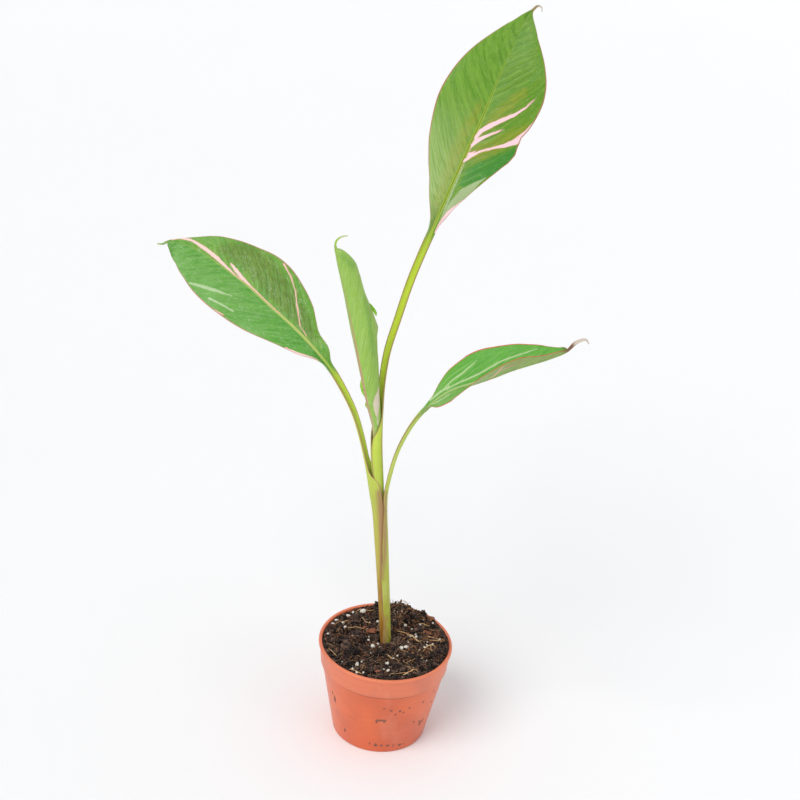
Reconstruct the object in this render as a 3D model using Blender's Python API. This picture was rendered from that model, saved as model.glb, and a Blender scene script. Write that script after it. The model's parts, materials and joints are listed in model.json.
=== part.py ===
# A young variegated banana plant in a 12 cm plastic nursery pot.
# Metres, +Z up. The origin is the centre of the pot's underside, which stands on the floor.
# Each leaf is one grown solid: its sheath wraps the younger ones to make the false stem, and it
# runs on through the leaf stalk and the midrib to the blade and the curled drip tip.

import math
import random

import bmesh
import bpy
import numpy as np
from mathutils import Vector, noise

# Pot
RIM_RADIUS = 0.060
POT_HEIGHT = 0.092
BASE_RADIUS = 0.0421
POT_WALL = 0.0014
POT_FLOOR = 0.0018
BAND_BOTTOM = 0.0705
BAND_RADIUS = 0.0570
BAND_STEP = 0.0013
LIP_HEIGHT = 0.0030
LIP_WIDTH = 0.0030
DRAIN_HOLES = 6
DRAIN_RADIUS = 0.0040
DRAIN_CIRCLE = 0.0290
SECTORS = 36

# Soil
FIT_GAP = 0.0004
SOIL_EDGE = 0.0885
SOIL_CROWN = 0.0035
MOUND_HEIGHT = 0.0050
HOLE_RADIUS = 0.0060
HOLE_BOTTOM = 0.0550
SEED = 7
CRUMBS = 46
PERLITE_GRAINS = 11
BARK_CHIPS = 5
FIBRES = 8
FIBRE_RADIUS = 0.0005
FIBRE_STEPS = 5

# False stem: it leans to -X by STEM_LEAN for each metre of height
STEM_X_AT_SOIL = -0.0012
SOIL_LEVEL = 0.0950
STEM_LEAN = 0.105
SHEATH_BASE = 0.0553

# Leaf: how many strips each half of a section has, and how many sections each stretch has
COLUMNS = 6
ROLLED_COLUMNS = 10
SHEATH_STEPS = 8
STALK_STEPS = 8
ROLLED_STALK_STEPS = 2
BLADE_STEPS = 15
TAIL_STEPS = 4
CROWDING = 0.045

# Leaf sections
STALK_HALF_WIDTH = 0.0040
STALK_TURN = 1.75
STALK_CLOSES = 0.050
MARGIN_TURN = 1.45
RIB_HALF_WIDTH = 0.0018
TIP_HALF_WIDTH = 0.0009
TAIL_HALF_WIDTH = 0.0005
BLADE_THICKNESS = 0.00065
STALK_EDGE = 0.0009
STALK_KEEL = 0.0019
RIB_KEEL = 0.0022
TIP_KEEL = 0.0009
SCROLL_KEEL = 0.0014
KEEL_SPREAD = 0.0026
KEEL_SPREAD_AT_TIP = 0.0016
TIP_ROLL = 2.2
WAVE_LENGTH = 0.048


def clear_scene():
    for thing in list(bpy.data.objects):
        bpy.data.objects.remove(thing, do_unlink=True)


def material(name, colour, roughness, metallic=0.0):
    made = bpy.data.materials.new(name)
    made.use_nodes = True
    shader = made.node_tree.nodes["Principled BSDF"]
    shader.inputs["Base Color"].default_value = (*colour, 1.0)
    shader.inputs["Roughness"].default_value = roughness
    shader.inputs["Metallic"].default_value = metallic
    made.diffuse_color = (*colour, 1.0)
    return made


def add_object(name, points, faces, finish):
    mesh = bpy.data.meshes.new(name)
    mesh.from_pydata([tuple(float(v) for v in p) for p in points], [], faces)
    work = bmesh.new()
    work.from_mesh(mesh)
    bmesh.ops.recalc_face_normals(work, faces=work.faces)
    work.to_mesh(mesh)
    work.free()
    mesh.shade_smooth()
    mesh.set_sharp_from_angle(angle=math.radians(35.0))
    made = bpy.data.objects.new(name, mesh)
    bpy.context.scene.collection.objects.link(made)
    if finish:
        mesh.materials.append(finish)
    return made


def apply_union_or_cut(target, operation, collection):
    modifier = target.modifiers.new("fuse", "BOOLEAN")
    modifier.operation = operation
    modifier.operand_type = "COLLECTION"
    modifier.collection = collection
    modifier.solver = "EXACT"
    graph = bpy.context.evaluated_depsgraph_get()
    result = bpy.data.meshes.new_from_object(target.evaluated_get(graph))
    target.modifiers.remove(modifier)
    target.data = result
    for tool in list(collection.objects):
        bpy.data.objects.remove(tool, do_unlink=True)
    bpy.data.collections.remove(collection)


def smooth(x):
    x = min(max(x, 0.0), 1.0)
    return x * x * (3.0 - 2.0 * x)


def mix(a, b, t):
    return a + (b - a) * t


def on_circle(radius, sector, sectors=SECTORS):
    angle = 2.0 * math.pi * sector / sectors
    return radius * math.cos(angle), radius * math.sin(angle)


# Pot: one turned wall with a stepped collar and a rolled lip, and drain holes in its floor.

def pot_inner_radius(z):
    """Radius of the pot's inner face at a height, under the lip."""
    if z >= BAND_BOTTOM:
        rise = (z - BAND_BOTTOM) / (POT_HEIGHT - BAND_BOTTOM)
        return BAND_RADIUS - POT_WALL + (RIM_RADIUS - LIP_WIDTH - BAND_RADIUS + POT_WALL) * rise
    return mix(BASE_RADIUS, BAND_RADIUS - BAND_STEP, z / BAND_BOTTOM) - POT_WALL


def pot_profile():
    wall_top = POT_HEIGHT - LIP_HEIGHT
    band_top = RIM_RADIUS - BAND_STEP
    outer = [
        (BASE_RADIUS - 0.0014, 0.0),
        (BASE_RADIUS - 0.0003, 0.0004),
        (BASE_RADIUS + 0.0002, 0.0014),
        (BAND_RADIUS - BAND_STEP, BAND_BOTTOM),
        (BAND_RADIUS - 0.0002, BAND_BOTTOM + 0.0003),
        (BAND_RADIUS + 0.0002, BAND_BOTTOM + 0.0010),
        (band_top, wall_top),
        (RIM_RADIUS - 0.0003, wall_top + 0.0004),
        (RIM_RADIUS, wall_top + 0.0014),
        (RIM_RADIUS - 0.0005, POT_HEIGHT - 0.0004),
        (RIM_RADIUS - 0.0015, POT_HEIGHT),
        (RIM_RADIUS - LIP_WIDTH + 0.0006, POT_HEIGHT - 0.0004),
        (RIM_RADIUS - LIP_WIDTH, POT_HEIGHT - 0.0016),
    ]
    inner = [
        (pot_inner_radius(BAND_BOTTOM), BAND_BOTTOM),
        (pot_inner_radius(BAND_BOTTOM - 0.0013), BAND_BOTTOM - 0.0013),
        (pot_inner_radius(POT_FLOOR + 0.0015), POT_FLOOR + 0.0015),
        (pot_inner_radius(POT_FLOOR) - 0.0015, POT_FLOOR),
    ]
    return outer + inner


def build_pot(finish):
    profile = pot_profile()
    points = []
    for radius, z in profile:
        points += [(*on_circle(radius, k), z) for k in range(SECTORS)]
    faces = []
    for ring in range(len(profile) - 1):
        for k in range(SECTORS):
            a = ring * SECTORS + k
            b = ring * SECTORS + (k + 1) % SECTORS
            faces.append((a, b, b + SECTORS, a + SECTORS))
    faces.append(tuple(range(SECTORS)))
    last = (len(profile) - 1) * SECTORS
    faces.append(tuple(last + k for k in range(SECTORS)))
    pot = add_object("pot", points, faces, finish)

    drills = bpy.data.collections.new("drills")
    bpy.context.scene.collection.children.link(drills)
    for k in range(DRAIN_HOLES):
        work = bmesh.new()
        bmesh.ops.create_cone(work, cap_ends=True, segments=12, radius1=DRAIN_RADIUS,
                              radius2=DRAIN_RADIUS, depth=4.0 * POT_FLOOR)
        mesh = bpy.data.meshes.new("drill")
        work.to_mesh(mesh)
        work.free()
        drill = bpy.data.objects.new("drill", mesh)
        drill.location = (*on_circle(DRAIN_CIRCLE, k, DRAIN_HOLES), POT_FLOOR / 2.0)
        drills.objects.link(drill)
    apply_union_or_cut(pot, "DIFFERENCE", drills)
    return pot


# Soil: one lumpy plug with a plain slanted hole for the stem, with its crumbs, grains of
# perlite, bark chips and fibres fused to it.

def stem_x(z):
    return STEM_X_AT_SOIL - STEM_LEAN * (z - SOIL_LEVEL)


def soil_height(x, y):
    radius = math.hypot(x, y)
    edge = RIM_RADIUS - LIP_WIDTH
    inward = 1.0 - min(radius / edge, 1.0)
    height = SOIL_EDGE + SOIL_CROWN * smooth(inward * 4.0)
    back = math.exp(-((x - 0.006) ** 2 + (y - 0.046) ** 2) / 0.019 ** 2)
    right = 0.6 * math.exp(-((x - 0.050) ** 2 + (y + 0.002) ** 2) / 0.012 ** 2)
    height += MOUND_HEIGHT * (back + right) * smooth(inward * 9.0 + 0.25)
    lumps = noise.noise(Vector((x, y, 0.3)) * 95.0) + 0.5 * noise.noise(Vector((x, y, 1.7)) * 210.0)
    return height + 0.0022 * lumps * smooth(inward * 12.0 + 0.1)


def build_soil_plug(finish):
    points = []
    levels = []

    def ring(radius, centre_x=0.0, z=None, slant=0.0):
        levels.append(len(points))
        for k in range(SECTORS):
            x, y = on_circle(radius, k)
            level = soil_height(x + centre_x, y) if z is None else z + slant * x
            points.append((x + centre_x, y, level))

    for z in (HOLE_BOTTOM, 0.070, 0.084):
        ring(HOLE_RADIUS, stem_x(z), z, STEM_LEAN)
    ring(HOLE_RADIUS, stem_x(SOIL_LEVEL - 0.002))
    top = pot_inner_radius(SOIL_EDGE) - FIT_GAP
    for share in (0.09, 0.20, 0.32, 0.45, 0.58, 0.70, 0.81, 0.91):
        ring(mix(HOLE_RADIUS, top, share), stem_x(SOIL_LEVEL) * (1.0 - share))
    ring(top)
    for z in (BAND_BOTTOM, BAND_BOTTOM - 0.0013, POT_FLOOR + 0.0022):
        ring(pot_inner_radius(z) - FIT_GAP, 0.0, z)
    ring(pot_inner_radius(POT_FLOOR) - 0.0024, 0.0, POT_FLOOR + FIT_GAP)
    faces = []
    for low, high in zip(levels[:-1], levels[1:]):
        for k in range(SECTORS):
            n = (k + 1) % SECTORS
            faces.append((low + k, low + n, high + n))
            faces.append((low + k, high + n, high + k))
    faces.append(tuple(levels[0] + k for k in range(SECTORS)))
    faces.append(tuple(levels[-1] + k for k in range(SECTORS)))
    return add_object("soil", points, faces, finish)


def add_lump(group, place, size, draw, rough, turn):
    """A broken grain: an icosahedron pulled to size=(x, y, z), its corners moved at random."""
    work = bmesh.new()
    bmesh.ops.create_icosphere(work, subdivisions=1, radius=1.0)
    for corner in work.verts:
        corner.co *= 1.0 + rough * (draw.random() - 0.5)
        corner.co = Vector([c * s for c, s in zip(corner.co, size)])
    mesh = bpy.data.meshes.new("grain")
    work.to_mesh(mesh)
    work.free()
    grain = bpy.data.objects.new("grain", mesh)
    grain.location = place
    grain.rotation_euler = turn
    group.objects.link(grain)


def add_fibre(group, x, y, angle, length, rise):
    """A three-sided straw that arches over the soil, both of its ends sunk in."""
    points = []
    for i in range(FIBRE_STEPS + 1):
        t = i / FIBRE_STEPS
        along = (t - 0.5) * length
        px = x + along * math.cos(angle)
        py = y + along * math.sin(angle)
        lift = rise * math.sin(math.pi * t) - 0.0016 * abs(2.0 * t - 1.0) ** 3
        pz = soil_height(px, py) + lift
        for side in range(3):
            spin = 2.0 * math.pi * side / 3.0 + math.pi / 2.0
            across = FIBRE_RADIUS * math.cos(spin)
            points.append((px - across * math.sin(angle), py + across * math.cos(angle),
                           pz + FIBRE_RADIUS * math.sin(spin)))
    last = 3 * FIBRE_STEPS
    faces = [(0, 1, 2), (last, last + 2, last + 1)]
    for i in range(FIBRE_STEPS):
        for side in range(3):
            a = 3 * i + side
            b = 3 * i + (side + 1) % 3
            faces.append((a, a + 3, b + 3, b))
    fibre = add_object("fibre", points, faces, None)
    bpy.context.scene.collection.objects.unlink(fibre)
    group.objects.link(fibre)


def soil_spot(draw, inner, outer):
    while True:
        radius = math.sqrt(mix(inner ** 2, outer ** 2, draw.random()))
        angle = 2.0 * math.pi * draw.random()
        x, y = radius * math.cos(angle), radius * math.sin(angle)
        if math.hypot(x - STEM_X_AT_SOIL, y) > inner:
            return x, y


def build_soil(finish):
    soil = build_soil_plug(finish)
    draw = random.Random(SEED)
    grains = bpy.data.collections.new("grains")
    bpy.context.scene.collection.children.link(grains)
    reach = RIM_RADIUS - LIP_WIDTH - 0.0068

    def turn():
        return tuple(2.0 * math.pi * draw.random() for axis in range(3))

    for k in range(CRUMBS):
        x, y = soil_spot(draw, 0.0125, reach)
        size = mix(0.0018, 0.0046, draw.random() ** 2.0)
        shape = (size, size * mix(0.7, 1.0, draw.random()), size * 0.8)
        add_lump(grains, (x, y, soil_height(x, y) + 0.15 * size), shape, draw, 0.45,
                 (0.0, 0.0, turn()[2]))
    for k in range(PERLITE_GRAINS):
        x, y = soil_spot(draw, 0.0120, reach)
        size = mix(0.0012, 0.0022, draw.random())
        add_lump(grains, (x, y, soil_height(x, y) + 0.35 * size), (size, size, size), draw, 0.3,
                 turn())
    for k in range(BARK_CHIPS):
        x, y = soil_spot(draw, 0.0140, reach)
        length = mix(0.0030, 0.0050, draw.random())
        add_lump(grains, (x, y, soil_height(x, y) + 0.0006), (length, length * 0.5, 0.0014), draw,
                 0.25, (0.2, 0.1, turn()[2]))
    for k in range(FIBRES):
        x, y = soil_spot(draw, 0.0220, reach - 0.008)
        heading = math.atan2(y, x) + math.pi / 2.0 + draw.uniform(-0.5, 0.5)
        add_fibre(grains, x, y, heading, mix(0.010, 0.017, draw.random()),
                  mix(0.0008, 0.0026, draw.random()))
    apply_union_or_cut(soil, "UNION", grains)
    return soil


class Route:
    """A smooth curve through way-points, by the distance between them."""

    def __init__(self, values, knots=None):
        self.values = np.array(values, float)
        if knots is None:
            steps = np.linalg.norm(np.diff(self.values, axis=0), axis=1)
            knots = np.concatenate([[0.0], np.cumsum(steps)])
        self.knots = np.array(knots, float)
        gaps = np.diff(self.knots)
        runs = np.diff(self.values, axis=0) / gaps[:, None]
        self.slopes = np.empty_like(self.values)
        self.slopes[0] = runs[0]
        self.slopes[-1] = runs[-1]
        before, after = gaps[:-1, None], gaps[1:, None]
        self.slopes[1:-1] = (after * runs[:-1] + before * runs[1:]) / (before + after)

    def at(self, s):
        i = int(np.clip(np.searchsorted(self.knots, s, side="right") - 1, 0, len(self.knots) - 2))
        gap = self.knots[i + 1] - self.knots[i]
        t = (s - self.knots[i]) / gap
        a, b = self.values[i], self.values[i + 1]
        u, v = self.slopes[i] * gap, self.slopes[i + 1] * gap
        place = ((2 * t ** 3 - 3 * t ** 2 + 1) * a + (t ** 3 - 2 * t ** 2 + t) * u
                 + (3 * t ** 2 - 2 * t ** 3) * b + (t ** 3 - t ** 2) * v)
        slope = ((6 * t ** 2 - 6 * t) * (a - b) + (3 * t ** 2 - 4 * t + 1) * u
                 + (3 * t ** 2 - 2 * t) * v) / gap
        return place, slope


class Half:
    """One half of a blade, on one side of the midrib.

    width     greatest half width
    peak      where it lies, 0 at the blade's base and 1 at its tip
    base, tip exponents that round or draw out the two ends
    fold      angle between this half and the flat, at even steps from the base to the tip
    open_at   share of the blade in which the stalk's channel opens out into it
    droop     how much the half bends back between the midrib and the margin, in radians
    wave      height of the margin's waves
    phase     where the waves start
    """

    def __init__(self, width, peak, base, tip, fold=(0.0,), droop=0.35, wave=0.001, phase=0.0,
                 open_at=0.16):
        self.width, self.peak, self.base, self.tip = width, peak, base, tip
        self.fold, self.droop, self.wave, self.phase = fold, droop, wave, phase
        self.open_at = open_at

    def half_width(self, x):
        x = min(max(x, 0.0), 1.0)
        turn = x ** (math.log(0.5) / math.log(self.peak))
        return self.width * math.sin(math.pi * turn) ** mix(self.base, self.tip, x)

    def fold_at(self, x):
        return float(np.interp(x, np.linspace(0.0, 1.0, len(self.fold)), self.fold))


class Leaf:
    """A sheath round the stem, a channelled stalk and a blade, along one route."""

    def __init__(self, name, azimuth, radii, thickness, sheath_top, opening, stalk, blade, tail,
                 halves, scroll=None):
        self.name = name
        self.radii = radii
        self.thickness = thickness
        self.opening = opening
        self.halves = halves
        self.scroll = scroll
        angle = math.radians(azimuth)
        out = np.array([math.cos(angle), math.sin(angle), STEM_LEAN * math.cos(angle)])
        points, facing = [], []
        for share in (0.0, 0.3, 0.55, 0.78, 1.0):
            z = mix(SHEATH_BASE, sheath_top, share)
            points.append(np.array([stem_x(z), 0.0, z]) + out * mix(radii[0], radii[1], share))
            facing.append(-out)
        marks = [len(points) - 1]
        for stretch in (stalk, blade, tail):
            for point, normal in stretch:
                points.append(point)
                facing.append(np.array(normal) / np.linalg.norm(normal))
            marks.append(len(points) - 1)
        self.route = Route(points)
        self.facing = Route(facing, self.route.knots)
        self.top, self.foot, self.tip, self.end = (self.route.knots[m] for m in marks)

    def frame(self, s):
        place, along = self.route.at(s)
        along = along / np.linalg.norm(along)
        up = self.facing.at(s)[0]
        up = up - along * (up @ along)
        up = up / np.linalg.norm(up)
        return place, np.cross(along, up), up

    def blade_share(self, s):
        return (s - self.foot) / (self.tip - self.foot)

    def half_section(self, s, side):
        """Half width, channel width, turn of the channel, droop and curl at s."""
        half = self.halves[side]
        stalk_turn = self.opening[1] if self.scroll else STALK_TURN
        stalk_width = self.radii[1] * stalk_turn if self.scroll else STALK_HALF_WIDTH
        if s <= self.top:
            share = s / self.top
            turn = mix(self.opening[0], self.opening[1],
                       smooth((share - self.opening[2]) / (1.0 - self.opening[2])))
            width = turn * mix(self.radii[0], self.radii[1], share)
            return width, width, turn, 0.0, 0.0
        if s <= self.foot:
            share = (s - self.top) / min(STALK_CLOSES, self.foot - self.top)
            turn = mix(self.opening[1], min(self.opening[1], MARGIN_TURN), smooth(share * 3.0))
            turn = mix(turn, stalk_turn, smooth(share * 1.5 - 0.5))
            radius = mix(self.radii[1], stalk_width / stalk_turn, smooth(share * 1.4 - 0.4))
            return radius * turn, radius * turn, turn, 0.0, 0.0
        if s >= self.tip:
            share = (s - self.tip) / (self.end - self.tip)
            width = mix(TIP_HALF_WIDTH, TAIL_HALF_WIDTH, share)
            return width, width, 1.0, 0.0, 0.0
        x = self.blade_share(s)
        width = mix(stalk_width, TIP_HALF_WIDTH, smooth(x * 2.5)) + half.half_width(x)
        if self.scroll:
            turn = mix(stalk_turn, self.scroll[side][0], smooth(x * 5.0))
            turn = mix(turn, TIP_ROLL, smooth((x - 0.70) / 0.26))
            return width, width, turn, 0.0, self.scroll[side][1] * smooth(x * 5.0)
        flat = smooth(x / half.open_at)
        channel = mix(stalk_width, RIB_HALF_WIDTH, flat)
        channel = mix(channel, TIP_HALF_WIDTH, smooth((x - 0.85) / 0.15))
        turn = mix(mix(stalk_turn, half.fold_at(x), flat), 1.0, smooth((x - 0.95) / 0.05))
        return width, min(channel, width), turn, -half.droop * flat, 0.0

    def thicknesses(self, s):
        """Edge and midrib thickness, and how far the midrib's keel spreads."""
        if s <= self.top or (self.scroll and s <= self.foot):
            return self.thickness, self.thickness, KEEL_SPREAD
        if s <= self.foot:
            share = smooth((s - self.top) / STALK_CLOSES)
            edge = mix(self.thickness, STALK_EDGE, share)
            return edge, mix(self.thickness, STALK_KEEL, share), KEEL_SPREAD
        if s >= self.tip:
            return BLADE_THICKNESS, TIP_KEEL, KEEL_SPREAD_AT_TIP
        x = self.blade_share(s)
        if self.scroll:
            edge = self.thickness
            keel = mix(mix(edge, SCROLL_KEEL, smooth(x * 5.0)), TIP_KEEL, x)
        else:
            edge = STALK_EDGE
            keel = mix(RIB_KEEL, TIP_KEEL, x)
        edge = mix(edge, BLADE_THICKNESS, smooth(x * 8.0))
        return edge, keel, mix(KEEL_SPREAD, KEEL_SPREAD_AT_TIP, x)

    def column_shares(self, s, count):
        spread = 1.0
        if not self.scroll and s > self.foot:
            spread = 1.0 + 0.9 * smooth(self.blade_share(s) / 0.15)
        return (np.arange(count + 1) / count) ** spread

    def section(self, s, count):
        """Outer and inner points at s, from one margin over the midrib to the other."""
        place, across, up = self.frame(s)
        edge, keel, spread = self.thicknesses(s)
        x = self.blade_share(s)
        outer, inner = [], []
        for side, sign in ((0, -1.0), (1, 1.0)):
            width, channel, turn, droop, curl = self.half_section(s, side)
            fine = np.linspace(0.0, width, 121)
            share = fine / width
            if curl:
                angle = turn * (share + curl * (share ** 2 - share))
            else:
                angle = turn * np.minimum(fine / channel, 1.0)
                if channel < width:
                    angle = angle + droop * np.maximum(fine - channel, 0.0) / (width - channel)
            step = fine[1]
            middle = 0.5 * (angle[1:] + angle[:-1])
            run = np.concatenate([[0.0], np.cumsum(np.cos(middle))]) * step
            rise = np.concatenate([[0.0], np.cumsum(np.sin(middle))]) * step
            for column in self.column_shares(s, count)[(1 if side else 0):]:
                at = column * width
                theta = np.interp(at, fine, angle)
                normal = up * math.cos(theta) - across * sign * math.sin(theta)
                point = place + across * sign * np.interp(at, fine, run)
                point = point + up * np.interp(at, fine, rise)
                half = self.halves[side]
                if 0.0 < x < 1.0 and half.wave:
                    swing = math.sin(2.0 * math.pi * (s - self.foot) / WAVE_LENGTH + half.phase)
                    swing *= column ** 3 * smooth(4.0 * x * (1.0 - x))
                    point = point + normal * half.wave * swing
                thick = edge + (keel - edge) * math.exp(-(at / spread) ** 2)
                outer.append(point - normal * (thick - edge / 2.0))
                inner.append(point + normal * edge / 2.0)
            if side == 0:
                outer.reverse()
                inner.reverse()
        return outer, inner


def leaf_stations(leaf):
    """Where the sections lie along the route, crowded towards both ends of the blade."""
    stalk_steps = ROLLED_STALK_STEPS if leaf.scroll else STALK_STEPS
    stations = list(leaf.top * np.linspace(0.0, 1.0, SHEATH_STEPS + 1) ** 0.8)
    stations += list(np.linspace(leaf.top, leaf.foot, stalk_steps + 1)[1:])
    blade = np.linspace(0.0, 1.0, BLADE_STEPS + 1)[1:]
    blade -= CROWDING * np.sin(2.0 * np.pi * blade)
    stations += list(mix(leaf.foot, leaf.tip, blade))
    stations += list(np.linspace(leaf.tip, leaf.end, TAIL_STEPS + 1)[1:])
    return stations


def build_leaf(leaf, finish):
    columns = ROLLED_COLUMNS if leaf.scroll else COLUMNS
    points = []
    stations = leaf_stations(leaf)
    for s in stations:
        outer, inner = leaf.section(s, columns)
        points += outer + inner[::-1]
    span = 2 * columns + 1
    ring = 2 * span
    faces = []
    for i in range(len(stations) - 1):
        for k in range(ring):
            a = i * ring + k
            b = i * ring + (k + 1) % ring
            c, d = b + ring, a + ring
            if k < span:
                faces += [(a, b, c), (a, c, d)]
            else:
                faces += [(a, b, d), (b, c, d)]
    for start in (0, (len(stations) - 1) * ring):
        for k in range(span - 1):
            low, high = start + ring - 1 - k, start + ring - 2 - k
            faces += [(start + k, start + k + 1, high), (start + k, high, low)]
    return add_object(leaf.name, points, faces, finish)


CAMERA_SIDE = (-0.05, -0.88, 0.47)

TALL_LEAF = Leaf(
    "tall_leaf", 50.0, (0.0026, 0.0042), 0.0007, 0.300, (2.85, 1.60, 0.55),
    stalk=[
        ((-0.0207, 0.0040, 0.3214), (-0.64, -0.77, 0.0)),
        ((-0.0213, 0.0055, 0.3461), (-0.60, -0.80, 0.0)),
        ((-0.0190, 0.0080, 0.3773), (-0.50, -0.85, 0.15)),
        ((-0.0133, 0.0125, 0.4031), (-0.40, -0.85, 0.25)),
        ((-0.0047, 0.0200, 0.4382), (-0.28, -0.87, 0.33)),
        ((0.0034, 0.0270, 0.4633), (-0.15, -0.88, 0.42)),
        ((0.0076, 0.0310, 0.4752), CAMERA_SIDE),
    ],
    blade=[
        ((0.0198, 0.0480, 0.5079), CAMERA_SIDE),
        ((0.0305, 0.0620, 0.5350), CAMERA_SIDE),
        ((0.0427, 0.0760, 0.5666), CAMERA_SIDE),
        ((0.0503, 0.0860, 0.5896), CAMERA_SIDE),
        ((0.0573, 0.0940, 0.6083), CAMERA_SIDE),
        ((0.0652, 0.1030, 0.6270), CAMERA_SIDE),
        ((0.0734, 0.1110, 0.6419), CAMERA_SIDE),
    ],
    tail=[
        ((0.0772, 0.1140, 0.6452), CAMERA_SIDE),
        ((0.0803, 0.1160, 0.6437), (0.5, -0.70, 0.5)),
        ((0.0812, 0.1170, 0.6394), (0.8, -0.50, 0.3)),
    ],
    halves=(
        Half(0.0405, 0.53, 1.10, 1.15, fold=(0.25, 0.22, 0.45), wave=0.0008),
        Half(0.0430, 0.61, 0.80, 1.20, fold=(0.25, 0.20, 0.45), wave=0.0014, phase=1.2),
    ),
)

LEFT_LEAF = Leaf(
    "left_leaf", 162.0, (0.0036, 0.0051), 0.0007, 0.232, (2.90, 1.95, 0.55),
    stalk=[
        ((-0.0229, 0.0018, 0.2450), (0.92, -0.36, 0.12)),
        ((-0.0256, 0.0027, 0.2582), (0.91, -0.38, 0.15)),
        ((-0.0296, 0.0045, 0.2727), (0.90, -0.40, 0.20)),
        ((-0.0361, 0.0070, 0.2931), (0.82, -0.45, 0.25)),
        ((-0.0441, 0.0105, 0.3145), (0.72, -0.50, 0.35)),
        ((-0.0541, 0.0150, 0.3321), (0.55, -0.58, 0.50)),
        ((-0.0668, 0.0210, 0.3491), (0.35, -0.66, 0.60)),
    ],
    blade=[
        ((-0.0765, 0.0260, 0.3583), (0.22, -0.72, 0.62)),
        ((-0.0976, 0.0370, 0.3742), (0.18, -0.74, 0.62)),
        ((-0.1198, 0.0480, 0.3876), (0.15, -0.74, 0.62)),
        ((-0.1431, 0.0590, 0.4017), (0.12, -0.74, 0.62)),
        ((-0.1664, 0.0680, 0.4131), (0.10, -0.74, 0.62)),
        ((-0.1856, 0.0740, 0.4217), (0.06, -0.74, 0.62)),
        ((-0.2006, 0.0770, 0.4263), (0.00, -0.74, 0.62)),
        ((-0.2137, 0.0790, 0.4264), (0.00, -0.74, 0.62)),
    ],
    tail=[
        ((-0.2189, 0.0800, 0.4234), (0.0, -0.74, 0.62)),
        ((-0.2234, 0.0810, 0.4230), (0.0, -0.74, 0.62)),
    ],
    halves=(
        Half(0.0350, 0.60, 0.80, 0.55, fold=(0.25, 0.22, 0.30), wave=0.0012, phase=0.5),
        Half(0.0350, 0.48, 2.00, 1.20, fold=(0.25, 0.25, 0.35), wave=0.0012, phase=2.0),
    ),
)

RIGHT_LEAF = Leaf(
    "right_leaf", -10.0, (0.0050, 0.00635), 0.0009, 0.232, (2.95, 1.50, 0.25),
    stalk=[
        ((-0.0098, -0.0012, 0.2423), (-0.98, 0.16, 0.05)),
        ((-0.0080, -0.0020, 0.2665), (-0.97, 0.15, 0.10)),
        ((-0.0050, -0.0030, 0.2847), (-0.95, 0.15, 0.20)),
        ((0.0011, -0.0050, 0.3047), (-0.90, 0.12, 0.35)),
        ((0.0083, -0.0070, 0.3223), (-0.80, 0.10, 0.55)),
        ((0.0148, -0.0090, 0.3344), (-0.70, 0.05, 0.70)),
    ],
    blade=[
        ((0.0250, -0.0110, 0.3467), (-0.60, 0.00, 0.80)),
        ((0.0373, -0.0130, 0.3568), (-0.50, 0.05, 0.85)),
        ((0.0513, -0.0160, 0.3648), (-0.45, 0.08, 0.88)),
        ((0.0668, -0.0190, 0.3738), (-0.45, 0.08, 0.88)),
        ((0.0819, -0.0220, 0.3836), (-0.45, 0.08, 0.88)),
        ((0.0971, -0.0250, 0.3920), (-0.45, 0.08, 0.88)),
        ((0.1113, -0.0280, 0.4000), (-0.50, 0.08, 0.86)),
        ((0.1238, -0.0300, 0.4086), (-0.55, 0.08, 0.83)),
    ],
    tail=[
        ((0.1306, -0.0310, 0.4177), (-0.60, 0.15, 0.75)),
        ((0.1367, -0.0310, 0.4201), (-0.20, 0.15, 0.90)),
        ((0.1395, -0.0310, 0.4168), (0.40, 0.15, 0.80)),
    ],
    halves=(
        Half(0.0255, 0.47, 1.70, 0.60, fold=(0.70, 1.00, 0.95, 0.80, 0.70), droop=0.20,
             wave=0.0006, open_at=0.20),
        Half(0.0240, 0.42, 1.05, 0.85, fold=(-0.10, 0.00, 0.55, 0.85, 0.90), droop=0.10,
             wave=0.0006, phase=1.0, open_at=0.08),
    ),
)

SCROLL_AXIS = (0.94, 0.34, 0.0)

ROLLED_LEAF = Leaf(
    "rolled_leaf", 200.0, (0.0013, 0.0022), 0.0008, 0.2964, (2.70, 2.60, 0.80),
    stalk=[
        ((-0.0262, -0.0018, 0.3084), SCROLL_AXIS),
    ],
    blade=[
        ((-0.0311, -0.0035, 0.3274), SCROLL_AXIS),
        ((-0.0357, -0.0050, 0.3465), SCROLL_AXIS),
        ((-0.0419, -0.0065, 0.3722), SCROLL_AXIS),
        ((-0.0496, -0.0080, 0.4041), SCROLL_AXIS),
        ((-0.0575, -0.0090, 0.4352), SCROLL_AXIS),
        ((-0.0621, -0.0100, 0.4526), SCROLL_AXIS),
        ((-0.0653, -0.0105, 0.4644), SCROLL_AXIS),
        ((-0.0672, -0.0108, 0.4710), SCROLL_AXIS),
    ],
    tail=[
        ((-0.0678, -0.0108, 0.4740), (0.94, 0.34, 0.1)),
        ((-0.0670, -0.0098, 0.4774), (0.90, 0.34, -0.3)),
        ((-0.0636, -0.0078, 0.4800), (0.50, 0.34, -0.8)),
        ((-0.0583, -0.0055, 0.4806), (0.10, 0.34, -0.9)),
    ],
    halves=(
        Half(0.0355, 0.54, 0.95, 0.78, wave=0.0),
        Half(0.0355, 0.54, 0.95, 0.78, wave=0.0),
    ),
    scroll=((3.63, -0.10), (4.45, 0.20)),
)


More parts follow.
